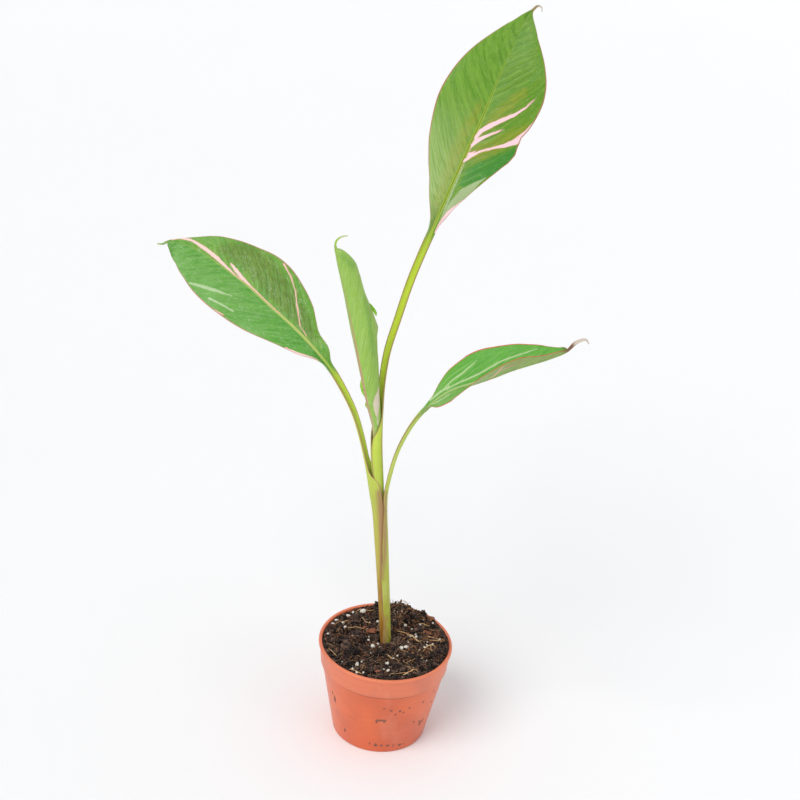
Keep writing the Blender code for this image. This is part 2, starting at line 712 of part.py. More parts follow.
def build():
    clear_scene()
    build_pot(material("terracotta_plastic", (0.70, 0.19, 0.09), 0.45))
    build_soil(material("potting_soil", (0.045, 0.028, 0.020), 0.95))
    build_leaf(RIGHT_LEAF, material("right_leaf_green", (0.13, 0.33, 0.06), 0.45))
    build_leaf(LEFT_LEAF, material("left_leaf_green", (0.12, 0.32, 0.06), 0.45))
    build_leaf(TALL_LEAF, material("tall_leaf_green", (0.17, 0.34, 0.06), 0.45))
    build_leaf(ROLLED_LEAF, material("rolled_leaf_green", (0.34, 0.55, 0.16), 0.5))


build()
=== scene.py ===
import json
import math
import random

import bmesh
import bpy
import numpy as np
from mathutils import Euler, Matrix, Vector, noise

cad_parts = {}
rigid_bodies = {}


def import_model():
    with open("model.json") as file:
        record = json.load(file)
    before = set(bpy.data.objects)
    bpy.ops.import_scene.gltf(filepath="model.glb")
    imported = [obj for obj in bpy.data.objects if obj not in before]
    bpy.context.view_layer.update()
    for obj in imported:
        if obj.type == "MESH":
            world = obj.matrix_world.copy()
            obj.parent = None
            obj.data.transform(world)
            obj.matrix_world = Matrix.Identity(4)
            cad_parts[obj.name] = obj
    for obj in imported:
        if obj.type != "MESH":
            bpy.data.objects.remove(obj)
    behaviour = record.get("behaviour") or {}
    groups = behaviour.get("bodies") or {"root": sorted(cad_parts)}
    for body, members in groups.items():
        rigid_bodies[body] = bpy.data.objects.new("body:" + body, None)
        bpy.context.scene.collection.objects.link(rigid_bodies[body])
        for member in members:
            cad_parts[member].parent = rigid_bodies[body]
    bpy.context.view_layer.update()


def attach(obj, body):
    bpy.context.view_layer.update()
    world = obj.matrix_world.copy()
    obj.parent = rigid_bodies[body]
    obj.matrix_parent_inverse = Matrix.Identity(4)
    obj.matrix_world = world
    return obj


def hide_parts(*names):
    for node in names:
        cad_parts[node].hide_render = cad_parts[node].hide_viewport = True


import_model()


# Studio
# A plain pale floor under large soft lights, with the camera at the photograph's viewing
# angle: it looks down on the plant from the front and is rolled a little to one side.

CAMERA_PLACE = Vector((-0.0060, -1.2536, 0.9887))
CAMERA_PITCH = math.radians(27.5)
CAMERA_ROLL = math.radians(5.0)
CAMERA_LENS = 76.5

forward = Vector((0.0, math.cos(CAMERA_PITCH), -math.sin(CAMERA_PITCH)))
level_right = Vector((1.0, 0.0, 0.0))
level_up = level_right.cross(forward)
camera_right = level_right * math.cos(CAMERA_ROLL) + level_up * math.sin(CAMERA_ROLL)
camera_up = level_up * math.cos(CAMERA_ROLL) - level_right * math.sin(CAMERA_ROLL)
lens = bpy.data.cameras.new("camera")
lens.lens = CAMERA_LENS
lens.sensor_width = 36.0
lens.clip_end = 50.0
camera = bpy.data.objects.new("camera", lens)
bpy.context.scene.collection.objects.link(camera)
turn = Matrix((camera_right, camera_up, -forward)).transposed().to_4x4()
camera.matrix_world = Matrix.Translation(CAMERA_PLACE) @ turn
bpy.context.scene.camera = camera


class Wiring:
    """Adds and joins the nodes of one material or group; each call returns the new output."""

    def __init__(self, tree):
        self.tree = tree

    def node(self, kind, sockets, output=0, **settings):
        made = self.tree.nodes.new("ShaderNode" + kind)
        for name, value in settings.items():
            setattr(made, name, value)
        for key, value in sockets.items():
            self.feed(made.inputs[key], value)
        return made.outputs[output]

    def feed(self, socket, value):
        if isinstance(value, bpy.types.NodeSocket):
            self.tree.links.new(value, socket)
        else:
            socket.default_value = value

    def calc(self, operation, a, b=0.0, c=0.0):
        return self.node("Math", {0: a, 1: b, 2: c}, operation=operation)

    def times(self, a, b):
        return self.calc("MULTIPLY", a, b)

    def plus(self, a, b):
        return self.calc("ADD", a, b)

    def less(self, a, b):
        return self.calc("SUBTRACT", a, b)

    def rest(self, value):
        """What value still lacks to 1."""
        return self.less(1.0, value)

    def rise(self, value, low, high):
        """0 below low, 1 above high and a smooth step between them."""
        return self.node("MapRange", {0: value, 1: low, 2: high}, interpolation_type="SMOOTHSTEP")

    def mix(self, share, a, b):
        return self.node("Mix", {0: share, 6: a, 7: b}, output=2, data_type="RGBA")

    def tint(self, under, code, mask, share=1.0):
        """The colour under, painted over with #rrggbb where mask is 1, as densely as share says."""
        return self.mix(mask if share == 1.0 else self.times(mask, share), under, paint(code))

    def noise(self, vector, scale, detail=2.0):
        return self.node("TexNoise", {"Vector": vector, "Scale": scale, "Detail": detail})

    def stretch(self, vector, amounts):
        return self.node("VectorMath", {0: vector, 1: amounts}, operation="MULTIPLY")

    def place(self):
        """The point's own place on the piece, in metres."""
        return self.node("TexCoord", {}, output="Object")

    def uv(self, name):
        return self.node("UVMap", {}, uv_map=name)

    def parts(self, vector):
        made = self.tree.nodes.new("ShaderNodeSeparateXYZ")
        self.feed(made.inputs[0], vector)
        return made.outputs[0], made.outputs[1], made.outputs[2]

    def bands(self, value, stops):
        """A colour that goes through stops [(value, colour), ...] as value rises."""
        made = self.tree.nodes.new("ShaderNodeValToRGB")
        low, high = stops[0][0], stops[-1][0]
        share = self.node("MapRange", {0: value, 1: low, 2: high})
        self.feed(made.inputs[0], share)
        ramp = made.color_ramp
        while len(ramp.elements) < len(stops):
            ramp.elements.new(0.5)
        for element, (place, colour) in zip(ramp.elements, stops):
            element.position = (place - low) / (high - low)
        for element, (place, colour) in zip(ramp.elements, stops):
            element.color = colour
        return made.outputs[0]

    def bump(self, height, strength, distance):
        return self.node("Bump", {"Height": height, "Strength": strength, "Distance": distance})

    def group(self, tree, output, sockets):
        made = self.tree.nodes.new("ShaderNodeGroup")
        made.node_tree = tree
        for key, value in sockets.items():
            self.feed(made.inputs[key], value)
        return made.outputs[output]


def paint(code):
    """A colour as the eye reads it, #rrggbb, in the light values that shaders use."""
    shown = [int(code[i:i + 2], 16) / 255.0 for i in (1, 3, 5)]
    return tuple(v / 12.92 if v <= 0.04045 else ((v + 0.055) / 1.055) ** 2.4 for v in shown) + (1.0,)


def new_material(name, roughness):
    made = bpy.data.materials.new(name)
    made.use_nodes = True
    shader = made.node_tree.nodes["Principled BSDF"]
    shader.inputs["Roughness"].default_value = roughness
    return made, Wiring(made.node_tree), shader


def new_group(name, vectors, numbers, outputs):
    """A shader node group: its tree, its wiring, its inputs by name and its output sockets."""
    tree = bpy.data.node_groups.new(name, "ShaderNodeTree")
    for titles, way, kind in ((vectors, "INPUT", "Vector"), (numbers, "INPUT", "Float"),
                              (outputs, "OUTPUT", "Float")):
        for title in titles:
            tree.interface.new_socket(title, in_out=way, socket_type="NodeSocket" + kind)
    entry = tree.nodes.new("NodeGroupInput")
    leave = tree.nodes.new("NodeGroupOutput")
    return tree, Wiring(tree), entry.outputs, leave.inputs


def band_faces(rings, sectors, start=0):
    """Faces between each ring of points and the next; the first point has the number start."""
    faces = []
    for ring in range(rings - 1):
        for k in range(sectors):
            a, b = start + ring * sectors + k, start + ring * sectors + (k + 1) % sectors
            faces.append((a, b, b + sectors, a + sectors))
    return faces


def turned(profile, sectors):
    """Points and faces of a profile [(radius, height), ...] turned round the upright axis."""
    angles = 2.0 * np.pi * np.arange(sectors) / sectors
    points = [(r * math.cos(a), r * math.sin(a), z) for r, z in profile for a in angles]
    return points, band_faces(len(profile), sectors)


# The floor is flat for 3 m all round and then sweeps up, so no horizon shows behind the plant.
FLOOR_SWEEP = [(0.001, 0.0), (3.0, 0.0), (3.8, 0.04), (4.6, 0.2), (5.3, 0.55), (5.9, 1.1), (6.3, 1.8),
               (6.5, 2.8)]
FLOOR_DROP = 0.0002
points, faces = turned(FLOOR_SWEEP, 96)
floor_mesh = bpy.data.meshes.new("floor")
floor_mesh.from_pydata(points, [], faces)
floor_mesh.shade_smooth()
floor = bpy.data.objects.new("floor", floor_mesh)
floor.location = (0.0, 0.0, -FLOOR_DROP)
bpy.context.scene.collection.objects.link(floor)
floor_paint, wiring, shader = new_material("floor_paint", 0.85)
wiring.feed(shader.inputs["Base Color"], wiring.mix(
    wiring.noise(wiring.place(), 3.0), (0.945, 0.945, 0.95, 1.0), (0.96, 0.96, 0.96, 1.0)))
floor_mesh.materials.append(floor_paint)

world = bpy.data.worlds.new("room_light")
bpy.context.scene.world = world
world.use_nodes = True
backdrop = world.node_tree.nodes["Background"]
backdrop.inputs["Color"].default_value = (0.97, 0.98, 1.0, 1.0)
backdrop.inputs["Strength"].default_value = 0.60
bpy.context.scene.view_settings.view_transform = "Standard"

AIM = Vector((0.0, 0.0, 0.32))
# Name, kind, place, strength, and the angle that a sun fills or the width of a disc of light.
LIGHTS = (
    ("key", "SUN", (-1.7, -1.9, 3.2), 1.55, math.radians(38.0)),
    ("fill", "AREA", (2.4, -1.6, 1.8), 7.0, 1.8),
)
for name, kind, spot, strength, size in LIGHTS:
    lamp = bpy.data.lights.new(name, kind)
    lamp.energy = strength
    if kind == "SUN":
        lamp.angle = size
    else:
        lamp.shape = "DISK"
        lamp.size = size
    light = bpy.data.objects.new(name, lamp)
    light.location = spot
    light.rotation_euler = (AIM - Vector(spot)).to_track_quat("-Z", "Y").to_euler()
    bpy.context.scene.collection.objects.link(light)


# Pot
# A round nursery pot, moulded in one piece from terracotta-coloured plastic, with a stepped
# collar, a rolled lip and six drain holes. Its wall is turned and its holes are cut through.

MM_IN_METRE = 1000.0
RIM_RADIUS = 0.060
POT_HEIGHT = 0.092
BASE_RADIUS = 0.0421
POT_WALL = 0.0014
POT_FLOOR = 0.0018
BAND_BOTTOM = 0.0705
BAND_RADIUS = 0.0570
BAND_STEP = 0.0013
LIP_HEIGHT = 0.0030
LIP_WIDTH = 0.0030
DRAIN_HOLES = 6
DRAIN_RADIUS = 0.0040
DRAIN_CIRCLE = 0.0290
POT_SECTORS = 144
HUB_RADIUS = 0.0002


def mix(a, b, t):
    return a + (b - a) * t


def smooth(x):
    x = np.clip(x, 0.0, 1.0)
    return x * x * (3.0 - 2.0 * x)


def add_piece(name, points, faces, materials, maps=None, picks=None, sharp=None):
    """A mesh on the root body. maps holds two numbers a point for each named UV map."""
    mesh = bpy.data.meshes.new(name)
    mesh.from_pydata(np.asarray(points, float).tolist(), [], faces)
    corners = np.empty(len(mesh.loops), int)
    mesh.loops.foreach_get("vertex_index", corners)
    for title, values in (maps or {}).items():
        layer = mesh.uv_layers.new(name=title)
        layer.data.foreach_set("uv", np.asarray(values, np.float32)[corners].ravel())
    for finish in materials:
        mesh.materials.append(finish)
    if picks is not None:
        mesh.polygons.foreach_set("material_index", picks)
    mesh.shade_smooth()
    if sharp:
        mesh.set_sharp_from_angle(angle=math.radians(sharp))
    made = bpy.data.objects.new(name, mesh)
    bpy.context.scene.collection.objects.link(made)
    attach(made, "root")
    return made


def rounded(profile, radii, steps=4):
    """The profile with each corner cut back by its radius and bent round in steps."""
    out = []
    count = len(profile)
    for i in range(count):
        before, here, after = (np.array(profile[(i + k) % count]) for k in (-1, 0, 1))
        if not radii[i]:
            out.append(tuple(here))
            continue
        to_before, to_after = before - here, after - here
        cut = min(radii[i], 0.45 * np.linalg.norm(to_before), 0.45 * np.linalg.norm(to_after))
        start = here + to_before / np.linalg.norm(to_before) * cut
        end = here + to_after / np.linalg.norm(to_after) * cut
        for t in np.linspace(0.0, 1.0, steps + 1):
            out.append(tuple((1 - t) ** 2 * start + 2 * t * (1 - t) * here + t * t * end))
    return out


def pot_inner_radius(z):
    if z >= BAND_BOTTOM:
        rise = (z - BAND_BOTTOM) / (POT_HEIGHT - BAND_BOTTOM)
        return mix(BAND_RADIUS - POT_WALL, RIM_RADIUS - LIP_WIDTH, rise)
    return mix(BASE_RADIUS, BAND_RADIUS - BAND_STEP, z / BAND_BOTTOM) - POT_WALL


lip_bottom = POT_HEIGHT - LIP_HEIGHT
# Radius, height and rounding of each corner of the wall, from the foot up and down inside.
corners = [
    (BASE_RADIUS, 0.0, 0.0012),
    (BAND_RADIUS - BAND_STEP, BAND_BOTTOM, 0.0004),
    (BAND_RADIUS + 0.0001, BAND_BOTTOM + 0.0006, 0.0009),
    (RIM_RADIUS - BAND_STEP, lip_bottom, 0.0006),
    (RIM_RADIUS, lip_bottom + 0.0004, 0.0011),
    (RIM_RADIUS, POT_HEIGHT, 0.0013),
    (RIM_RADIUS - LIP_WIDTH, POT_HEIGHT, 0.0011),
    (pot_inner_radius(BAND_BOTTOM), BAND_BOTTOM, 0.0008),
    (pot_inner_radius(BAND_BOTTOM - BAND_STEP), BAND_BOTTOM - BAND_STEP, 0.0008),
    (pot_inner_radius(POT_FLOOR), POT_FLOOR, 0.0016),
]
hub = [(HUB_RADIUS, POT_FLOOR, 0.0), (HUB_RADIUS, 0.0, 0.0)]
profile = rounded([c[:2] for c in corners + hub], [c[2] for c in corners + hub])
# The profile starts at the hub, under the floor, and goes up outside and down inside.
profile = [profile[-1]] + profile[:-1]
points, faces = turned(profile, POT_SECTORS)
faces.append(tuple(range(POT_SECTORS)))
faces.append(tuple(len(points) - POT_SECTORS + k for k in range(POT_SECTORS)))
pot_mesh = bpy.data.meshes.new("pot_wall")
pot_mesh.from_pydata(points, [], faces)
work = bmesh.new()
work.from_mesh(pot_mesh)
bmesh.ops.recalc_face_normals(work, faces=work.faces)
work.to_mesh(pot_mesh)
work.free()
pot = bpy.data.objects.new("pot_wall", pot_mesh)
bpy.context.scene.collection.objects.link(pot)

drills = bpy.data.collections.new("drills")
bpy.context.scene.collection.children.link(drills)
for k in range(DRAIN_HOLES):
    angle = 2.0 * math.pi * k / DRAIN_HOLES
    drill_mesh = bpy.data.meshes.new("drill")
    work = bmesh.new()
    bmesh.ops.create_cone(work, cap_ends=True, segments=32, radius1=DRAIN_RADIUS,
                          radius2=DRAIN_RADIUS, depth=4.0 * POT_FLOOR)
    work.to_mesh(drill_mesh)
    work.free()
    drill = bpy.data.objects.new("drill", drill_mesh)
    drill.location = (DRAIN_CIRCLE * math.cos(angle), DRAIN_CIRCLE * math.sin(angle), 0.5 * POT_FLOOR)
    drills.objects.link(drill)
cut = pot.modifiers.new("holes", "BOOLEAN")
cut.operation = "DIFFERENCE"
cut.operand_type = "COLLECTION"
cut.collection = drills
cut.solver = "EXACT"
pot.data = bpy.data.meshes.new_from_object(pot.evaluated_get(bpy.context.evaluated_depsgraph_get()))
pot.modifiers.remove(cut)
for drill in list(drills.objects):
    bpy.data.objects.remove(drill, do_unlink=True)
bpy.data.collections.remove(drills)
pot.data.shade_smooth()
pot.data.set_sharp_from_angle(angle=math.radians(50.0))

# Where dried compost clings to the wall: angle in degrees, height, width and depth in mm.
SMUDGES = (
    (-143, 46.0, 2.0, 4.0), (-146, 52.0, 1.2, 2.2), (-88, 42.0, 5.0, 1.3), (-92, 40.6, 1.5, 2.4),
    (-84, 41.0, 1.3, 2.0), (-38, 26.5, 2.4, 2.6), (-34, 28.5, 1.5, 2.0), (-41, 30.0, 1.2, 1.2),
    (-91, 9.4, 2.0, 2.2), (-84, 9.0, 1.5, 1.8), (-77, 8.6, 2.4, 1.4), (-70, 8.2, 1.6, 2.0),
    (-62, 7.4, 2.2, 1.8), (-55, 7.0, 1.2, 1.2), (-98, 10.0, 1.2, 1.4), (-131, 15.0, 1.5, 2.2),
    (-86, 57.0, 1.2, 1.0), (-79, 55.0, 1.4, 1.1), (-70, 53.5, 1.2, 1.4), (-66, 51.0, 1.4, 1.0),
    (-60, 55.0, 1.3, 0.9), (-74, 49.5, 0.9, 1.2), (-30, 61.5, 1.8, 1.0), (-44, 56.0, 1.0, 1.2),
    (-27, 47.0, 1.2, 1.0), (-50, 33.0, 1.2, 1.2), (150, 30.0, 3.6, 2.0), (95, 52.0, 2.2, 1.6),
    (60, 20.0, 4.0, 1.4), (20, 44.0, 1.8, 3.0), (-170, 62.0, 1.5, 1.6), (118, 12.0, 2.6, 1.8),
    (75, 9.0, 2.0, 1.6), (84, 8.6, 1.6, 1.8), (30, 14.0, 1.8, 1.4),
)

smudge_group, wiring, given, leave = new_group(
    "smudge", (), ("Angle", "Height", "At Angle", "At Height", "Width", "Depth", "Rough"), ("Mask",))
across = wiring.calc("DIVIDE", wiring.less(given["Angle"], given["At Angle"]), given["Width"])
upward = wiring.calc("DIVIDE", wiring.less(given["Height"], given["At Height"]), given["Depth"])
away = wiring.plus(wiring.times(across, across), wiring.times(upward, upward))
away = wiring.plus(away, wiring.times(given["Rough"], 2.6))
wiring.feed(leave["Mask"], wiring.rest(wiring.rise(away, 1.3, 2.3)))

# Dust: small pale dots scattered by a cell pattern, a few of them large.
dust_group, wiring, given, leave = new_group("dust", ("Vector",), ("Scale", "Amount"), ("Mask",))
cells = wiring.node("TexVoronoi", {"Vector": given["Vector"], "Scale": given["Scale"]})
patch = wiring.noise(given["Vector"], wiring.times(given["Scale"], 0.13), 3.0)
size = wiring.times(wiring.rise(patch, 0.32, 0.68), given["Amount"])
wiring.feed(leave["Mask"], wiring.rise(wiring.less(wiring.times(size, 0.22), cells), -0.02, 0.05))

terracotta, wiring, shader = new_material("terracotta_plastic", 0.38)
place = wiring.place()
x, y, z = wiring.parts(place)
degrees = wiring.times(wiring.calc("ARCTAN2", y, x), 180.0 / math.pi)
height = wiring.times(z, MM_IN_METRE)
collar, rim = BAND_BOTTOM * MM_IN_METRE, POT_HEIGHT * MM_IN_METRE
cloud = wiring.rise(wiring.noise(place, 28.0, 4.0), 0.35, 0.68)
grain = wiring.noise(place, 900.0, 3.0)
colour = wiring.mix(cloud, paint("#E06A38"), paint("#D0603A"))
# A pale painted sheen: streaks of it down the wall and a layer of it over the collar, which also make those
# places rougher.
painted_pot_sheen = wiring.rise(wiring.noise(wiring.stretch(place, (1.0, 1.0, 0.35)), 60.0, 5.0), 0.50, 0.80)
on_collar = wiring.rise(height, collar - 0.4, collar + 0.8)
painted_pot_sheen = wiring.plus(wiring.times(painted_pot_sheen, 0.17), wiring.times(on_collar, 0.17))
colour = wiring.tint(colour, "#EDB09A", painted_pot_sheen)
colour = wiring.tint(colour, "#B9482E", wiring.rest(wiring.rise(height, 1.0, 26.0)), 0.22)
# A painted shade line in the crease under the collar's step, and faint darker mould rings down the wall.
painted_crease_shade = wiring.calc("ABSOLUTE", wiring.less(height, collar + 0.1))
colour = wiring.tint(colour, "#8A3A26", wiring.rest(wiring.rise(painted_crease_shade, 0.55, 1.30)), 0.75)
rings_low = wiring.rise(wiring.calc("COSINE", wiring.times(height, 2.0 * math.pi / 7.3)), 0.93, 1.0)
colour = wiring.tint(colour, "#8E3F2A", rings_low, 0.10)
# A painted highlight along the lip.
colour = wiring.tint(colour, "#F08A60", wiring.rise(height, rim - 2.2, rim - 0.6), 0.35)
wander = wiring.noise(place, 420.0, 3.0)
dirt = 0.0
for at_angle, at_height, width, depth in SMUDGES:
    mask = wiring.group(smudge_group, "Mask", {
        "Angle": degrees, "Height": height, "At Angle": float(at_angle), "At Height": at_height,
        "Width": 1.3 * width, "Depth": 1.3 * depth, "Rough": wander})
    dirt = wiring.calc("MAXIMUM", dirt, mask)
specks = wiring.group(dust_group, "Mask", {"Vector": place, "Scale": 300.0, "Amount": 0.8})
colour = wiring.tint(colour, "#8A5A44", specks, 0.55)
colour = wiring.tint(colour, "#5E4C3E", dirt, 0.90)
wiring.feed(shader.inputs["Base Color"], colour)
rough = wiring.plus(wiring.times(painted_pot_sheen, 0.3), wiring.times(dirt, 0.4))
wiring.feed(shader.inputs["Roughness"], wiring.plus(wiring.plus(rough, wiring.times(grain, 0.1)), 0.30))
relief = wiring.plus(wiring.times(grain, 0.15), wiring.times(dirt, 0.8))
wiring.feed(shader.inputs["Normal"], wiring.bump(relief, 0.5, 0.0003))
pot.data.materials.clear()
pot.data.materials.append(terracotta)
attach(pot, "root")
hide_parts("pot")


# Soil
# Peaty potting compost pressed into the pot up to the lip: a lumpy bed with a hole for the
# stem, clods and crumbs heaped on it, grains of white perlite, bark chips and dry fibres.

FIT_GAP = 0.0004
SOIL_EDGE = 0.0885
SOIL_CROWN = 0.0030
MOUND_HEIGHT = 0.0052
BRIM_RISE = 0.0030
HOLE_RADIUS = 0.0060
HOLE_BOTTOM = 0.0550
STEM_X_AT_SOIL = -0.0012
SOIL_LEVEL = 0.0950
STEM_LEAN = 0.105
BED_SECTORS = 360
BED_RINGS = 110
LUMPS_OFF_WALL = 0.0068
# How far grains and chips, and straws, lie over the coarse surface, on top of its crumbs.
GRAIN_LIFT = 0.0016
STRAW_LIFT = 0.0018
# The range of height over which the map named lie goes from 0, in the pits, to 1, on the peaks; by it the
# peat is painted with shade in the pits and light on the peaks.
LIE_DEPTH = 0.004
# How near to the stem and how far out dry needles and fibres may lie, in mm.
NEEDLE_LIMITS = (8.5, 55.0)
FIBRE_LIMITS = (7.5, 55.5)
TUFT_REACH = 0.0585
STRAW_STOUTNESS = 1.25


def stem_x(z):
    return STEM_X_AT_SOIL - STEM_LEAN * (z - SOIL_LEVEL)


def soil_height(x, y, fine=True):
    """Height of the soil: a low crown with mounds and a hollow, lumps, and crumbs where fine."""
    radius = math.hypot(x, y)
    inward = 1.0 - min(radius / (RIM_RADIUS - LIP_WIDTH), 1.0)
    heading = math.degrees(math.atan2(y, x))
    brim = smooth((heading + 40.0) / 45.0) * smooth((125.0 - heading) / 45.0)
    height = SOIL_EDGE + 0.0010 + BRIM_RISE * float(brim) + SOIL_CROWN * smooth(inward * 4.0)
    back = math.exp(-((x - 0.010) ** 2 + (y - 0.042) ** 2) / 0.017 ** 2)
    right = 0.6 * math.exp(-((x - 0.048) ** 2 + (y + 0.002) ** 2) / 0.012 ** 2)
    hollow = math.exp(-((x + 0.016) ** 2 + (y + 0.024) ** 2) / 0.010 ** 2)
    height += MOUND_HEIGHT * (back + right) * smooth(inward * 9.0 + 0.25) - 0.0036 * hollow
    lumps = noise.noise(Vector((x, y, 0.3)) * 95.0) + 0.5 * noise.noise(Vector((x, y, 1.7)) * 210.0)
    height += 0.0024 * lumps * smooth(inward * 12.0 + 0.1)
    if fine:
        crumbs = 0.62 - noise.voronoi(Vector((x, y, 0.2)) * 270.0)[0][0]
        crumbs += 0.5 * (0.62 - noise.voronoi(Vector((x, y, 0.6)) * 620.0)[0][0])
        crags = noise.noise(Vector((x, y, 7.3)) * 900.0)
        height += (0.0017 * crumbs + 0.0006 * crags) * smooth(inward * 14.0 + 0.3)
    return height


def bed_ring(radius, z, x=0.0, lean=0.0):
    """Places round one ring of the bed, with its middle at x and its plane tilted by lean."""
    return [(radius * math.cos(a) + x, radius * math.sin(a), z + lean * radius * math.cos(a))
            for a in 2.0 * np.pi * np.arange(BED_SECTORS) / BED_SECTORS]


rings = [bed_ring(HOLE_RADIUS, z, stem_x(z), STEM_LEAN) for z in (HOLE_BOTTOM, 0.068, 0.080)]
bed_edge = pot_inner_radius(SOIL_EDGE) - FIT_GAP
for share in np.linspace(0.0, 1.0, BED_RINGS):
    ring = bed_ring(mix(HOLE_RADIUS, bed_edge, share), 0.0, stem_x(SOIL_LEVEL) * (1.0 - share))
    rings.append([(*p[:2], soil_height(*p[:2])) for p in ring])
for z in (BAND_BOTTOM, BAND_BOTTOM - BAND_STEP, POT_FLOOR + 0.0022):
    rings.append(bed_ring(pot_inner_radius(z) - FIT_GAP, z))
rings.append(bed_ring(pot_inner_radius(POT_FLOOR) - 0.0024, POT_FLOOR + FIT_GAP))
points = [p for ring in rings for p in ring]


def tube_faces(rings, sectors, start=0):
    """As band_faces, with both ends closed."""
    end = start + (rings - 1) * sectors
    return band_faces(rings, sectors, start) + [tuple(reversed(range(start, start + sectors))),
                                                tuple(range(end, end + sectors))]


def grain_material(name, stops, roughness, scale, depth, specks=None, pit_shade=False):
    """Matt broken matter: stops of colour over a two-scale noise, with a bump of that depth.

    With pit_shade, the UV map named lie paints shade on what lies low and light on what stands proud.
    """
    made, wiring, shader = new_material(name, roughness)
    place = wiring.place()
    coarse, fine = wiring.noise(place, scale, 5.0), wiring.noise(place, scale * 5.0, 4.0)
    blend = wiring.plus(wiring.times(coarse, 0.5), wiring.times(fine, 0.5))
    value = blend
    if pit_shade:
        # Painted shade where the lie map is low and painted light where it is high.
        proud = wiring.parts(wiring.uv("lie"))[0]
        value = wiring.plus(blend, wiring.times(wiring.less(proud, 0.5), 0.5))
    colour = wiring.bands(value, [(at, paint(code)) for at, code in stops])
    if specks:
        spots = wiring.group(dust_group, "Mask", {"Vector": place, "Scale": 1100.0, "Amount": 1.3})
        colour = wiring.tint(colour, specks, spots, 0.8)
    wiring.feed(shader.inputs["Base Color"], colour)
    shader.inputs["Specular IOR Level"].default_value = 0.25
    wiring.feed(shader.inputs["Normal"], wiring.bump(blend, 0.8, depth))
    return made


peat = grain_material("peat", [(0.34, "#0D0A0A"), (0.44, "#1C1614"), (0.52, "#3A2D28"), (0.60, "#5B463B"),
                               (0.70, "#86695A")], 0.95, 230.0, 0.0014, "#B09A86", pit_shade=True)
walls = 3 * BED_SECTORS
# How high each point of the bed stands over its coarse surface, for the painted shade in the pits and painted
# light on the peaks; the walls take the middle value.
proud = [0.5 + (z - soil_height(x, y, fine=False)) / LIE_DEPTH if number >= walls else 0.5
         for number, (x, y, z) in enumerate(points)]
proud = np.clip(proud, 0.0, 1.0)
bed = add_piece("soil_bed", points, tube_faces(len(rings), BED_SECTORS), [peat],
                {"lie": np.column_stack([proud, proud])}, sharp=60.0)
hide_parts("soil")

icosphere = {}
for level in (1, 2, 3, 5):
    work = bmesh.new()
    bmesh.ops.create_icosphere(work, subdivisions=level, radius=1.0)
    icosphere[level] = (np.array([v.co[:] for v in work.verts]),
                        np.array([[v.index for v in f.verts] for f in work.faces]))
    work.free()


def broken(lumps, level, rough):
    """Points, faces and the map lie of many lumps [(place, size, turn, seed), ...] broken by noise."""
    ball, sides = icosphere[level]
    points, faces, proud = [], [], []
    for place, size, turn, seed in lumps:
        shift = Vector((seed * 3.17, seed * 1.73, seed * 0.91))
        swell = np.array([1.0 + rough * (noise.noise(Vector(v) * 1.3 + shift)
                                         + 0.5 * noise.noise(Vector(v) * 3.1 + shift)
                                         + 0.3 * noise.noise(Vector(v) * 7.9 + shift)) for v in ball])
        body = ball * swell[:, None] * np.array(size)
        body = body @ np.array(Euler(turn).to_matrix()).T + np.array(place)
        faces.append(sides + len(ball) * len(points))
        points.append(body)
        # How proud each point of a lump stands, for the painted shade and light of the lie map; lump tops are
        # a little lighter, as painted light from above.
        proud.append(np.clip(0.38 + 0.40 * (swell - 1.0) / rough + 0.04 * ball[:, 2], 0.1, 0.62))
    proud = np.concatenate(proud)
    return np.concatenate(points), np.concatenate(faces).tolist(), {"lie": np.column_stack([proud, proud])}


def on_soil(x, y, lift=0.0):
    """The place on the coarse surface of the soil at x, y in mm, raised by lift in metres."""
    x, y = x / MM_IN_METRE, y / MM_IN_METRE
    return x, y, soil_height(x, y, fine=False) + lift


draw = random.Random(7)
REACH = RIM_RADIUS - LIP_WIDTH - LUMPS_OFF_WALL


def soil_spot(inner, outer):
    """A place between two distances from the pot's axis, and at least inner from the stem."""
    while True:
        radius = math.sqrt(mix(inner ** 2, outer ** 2, draw.random()))
        angle = 2.0 * math.pi * draw.random()
        x, y = radius * math.cos(angle), radius * math.sin(angle)
        if math.hypot(x - STEM_X_AT_SOIL, y) > inner:
            return x, y


def arc_spot(turns, reach):
    """A place between two headings in degrees and two distances from the pot's axis."""
    angle = math.radians(draw.uniform(*turns))
    radius = draw.uniform(*reach)
    return radius * math.cos(angle), radius * math.sin(angle)


def any_turn():
    return tuple(2.0 * math.pi * draw.random() for _ in range(3))


def lie_on_soil(count, inner, outer, smallest, largest, rise, flat=0.8, bias=2.0):
    """Lumps for broken, strewn on the soil; rise says where their middles are, in their size."""
    lumps = []
    for _ in range(count):
        x, y = soil_spot(inner, outer)
        size = mix(smallest, largest, draw.random() ** bias)
        shape = (size, size * mix(0.65, 1.0, draw.random()), size * flat)
        lift = soil_height(x, y, fine=False) + rise * size
        lumps.append(((x, y, lift), shape, (draw.uniform(-0.4, 0.4), draw.uniform(-0.4, 0.4),
                                            any_turn()[2]), draw.random() * 100.0))
    return lumps


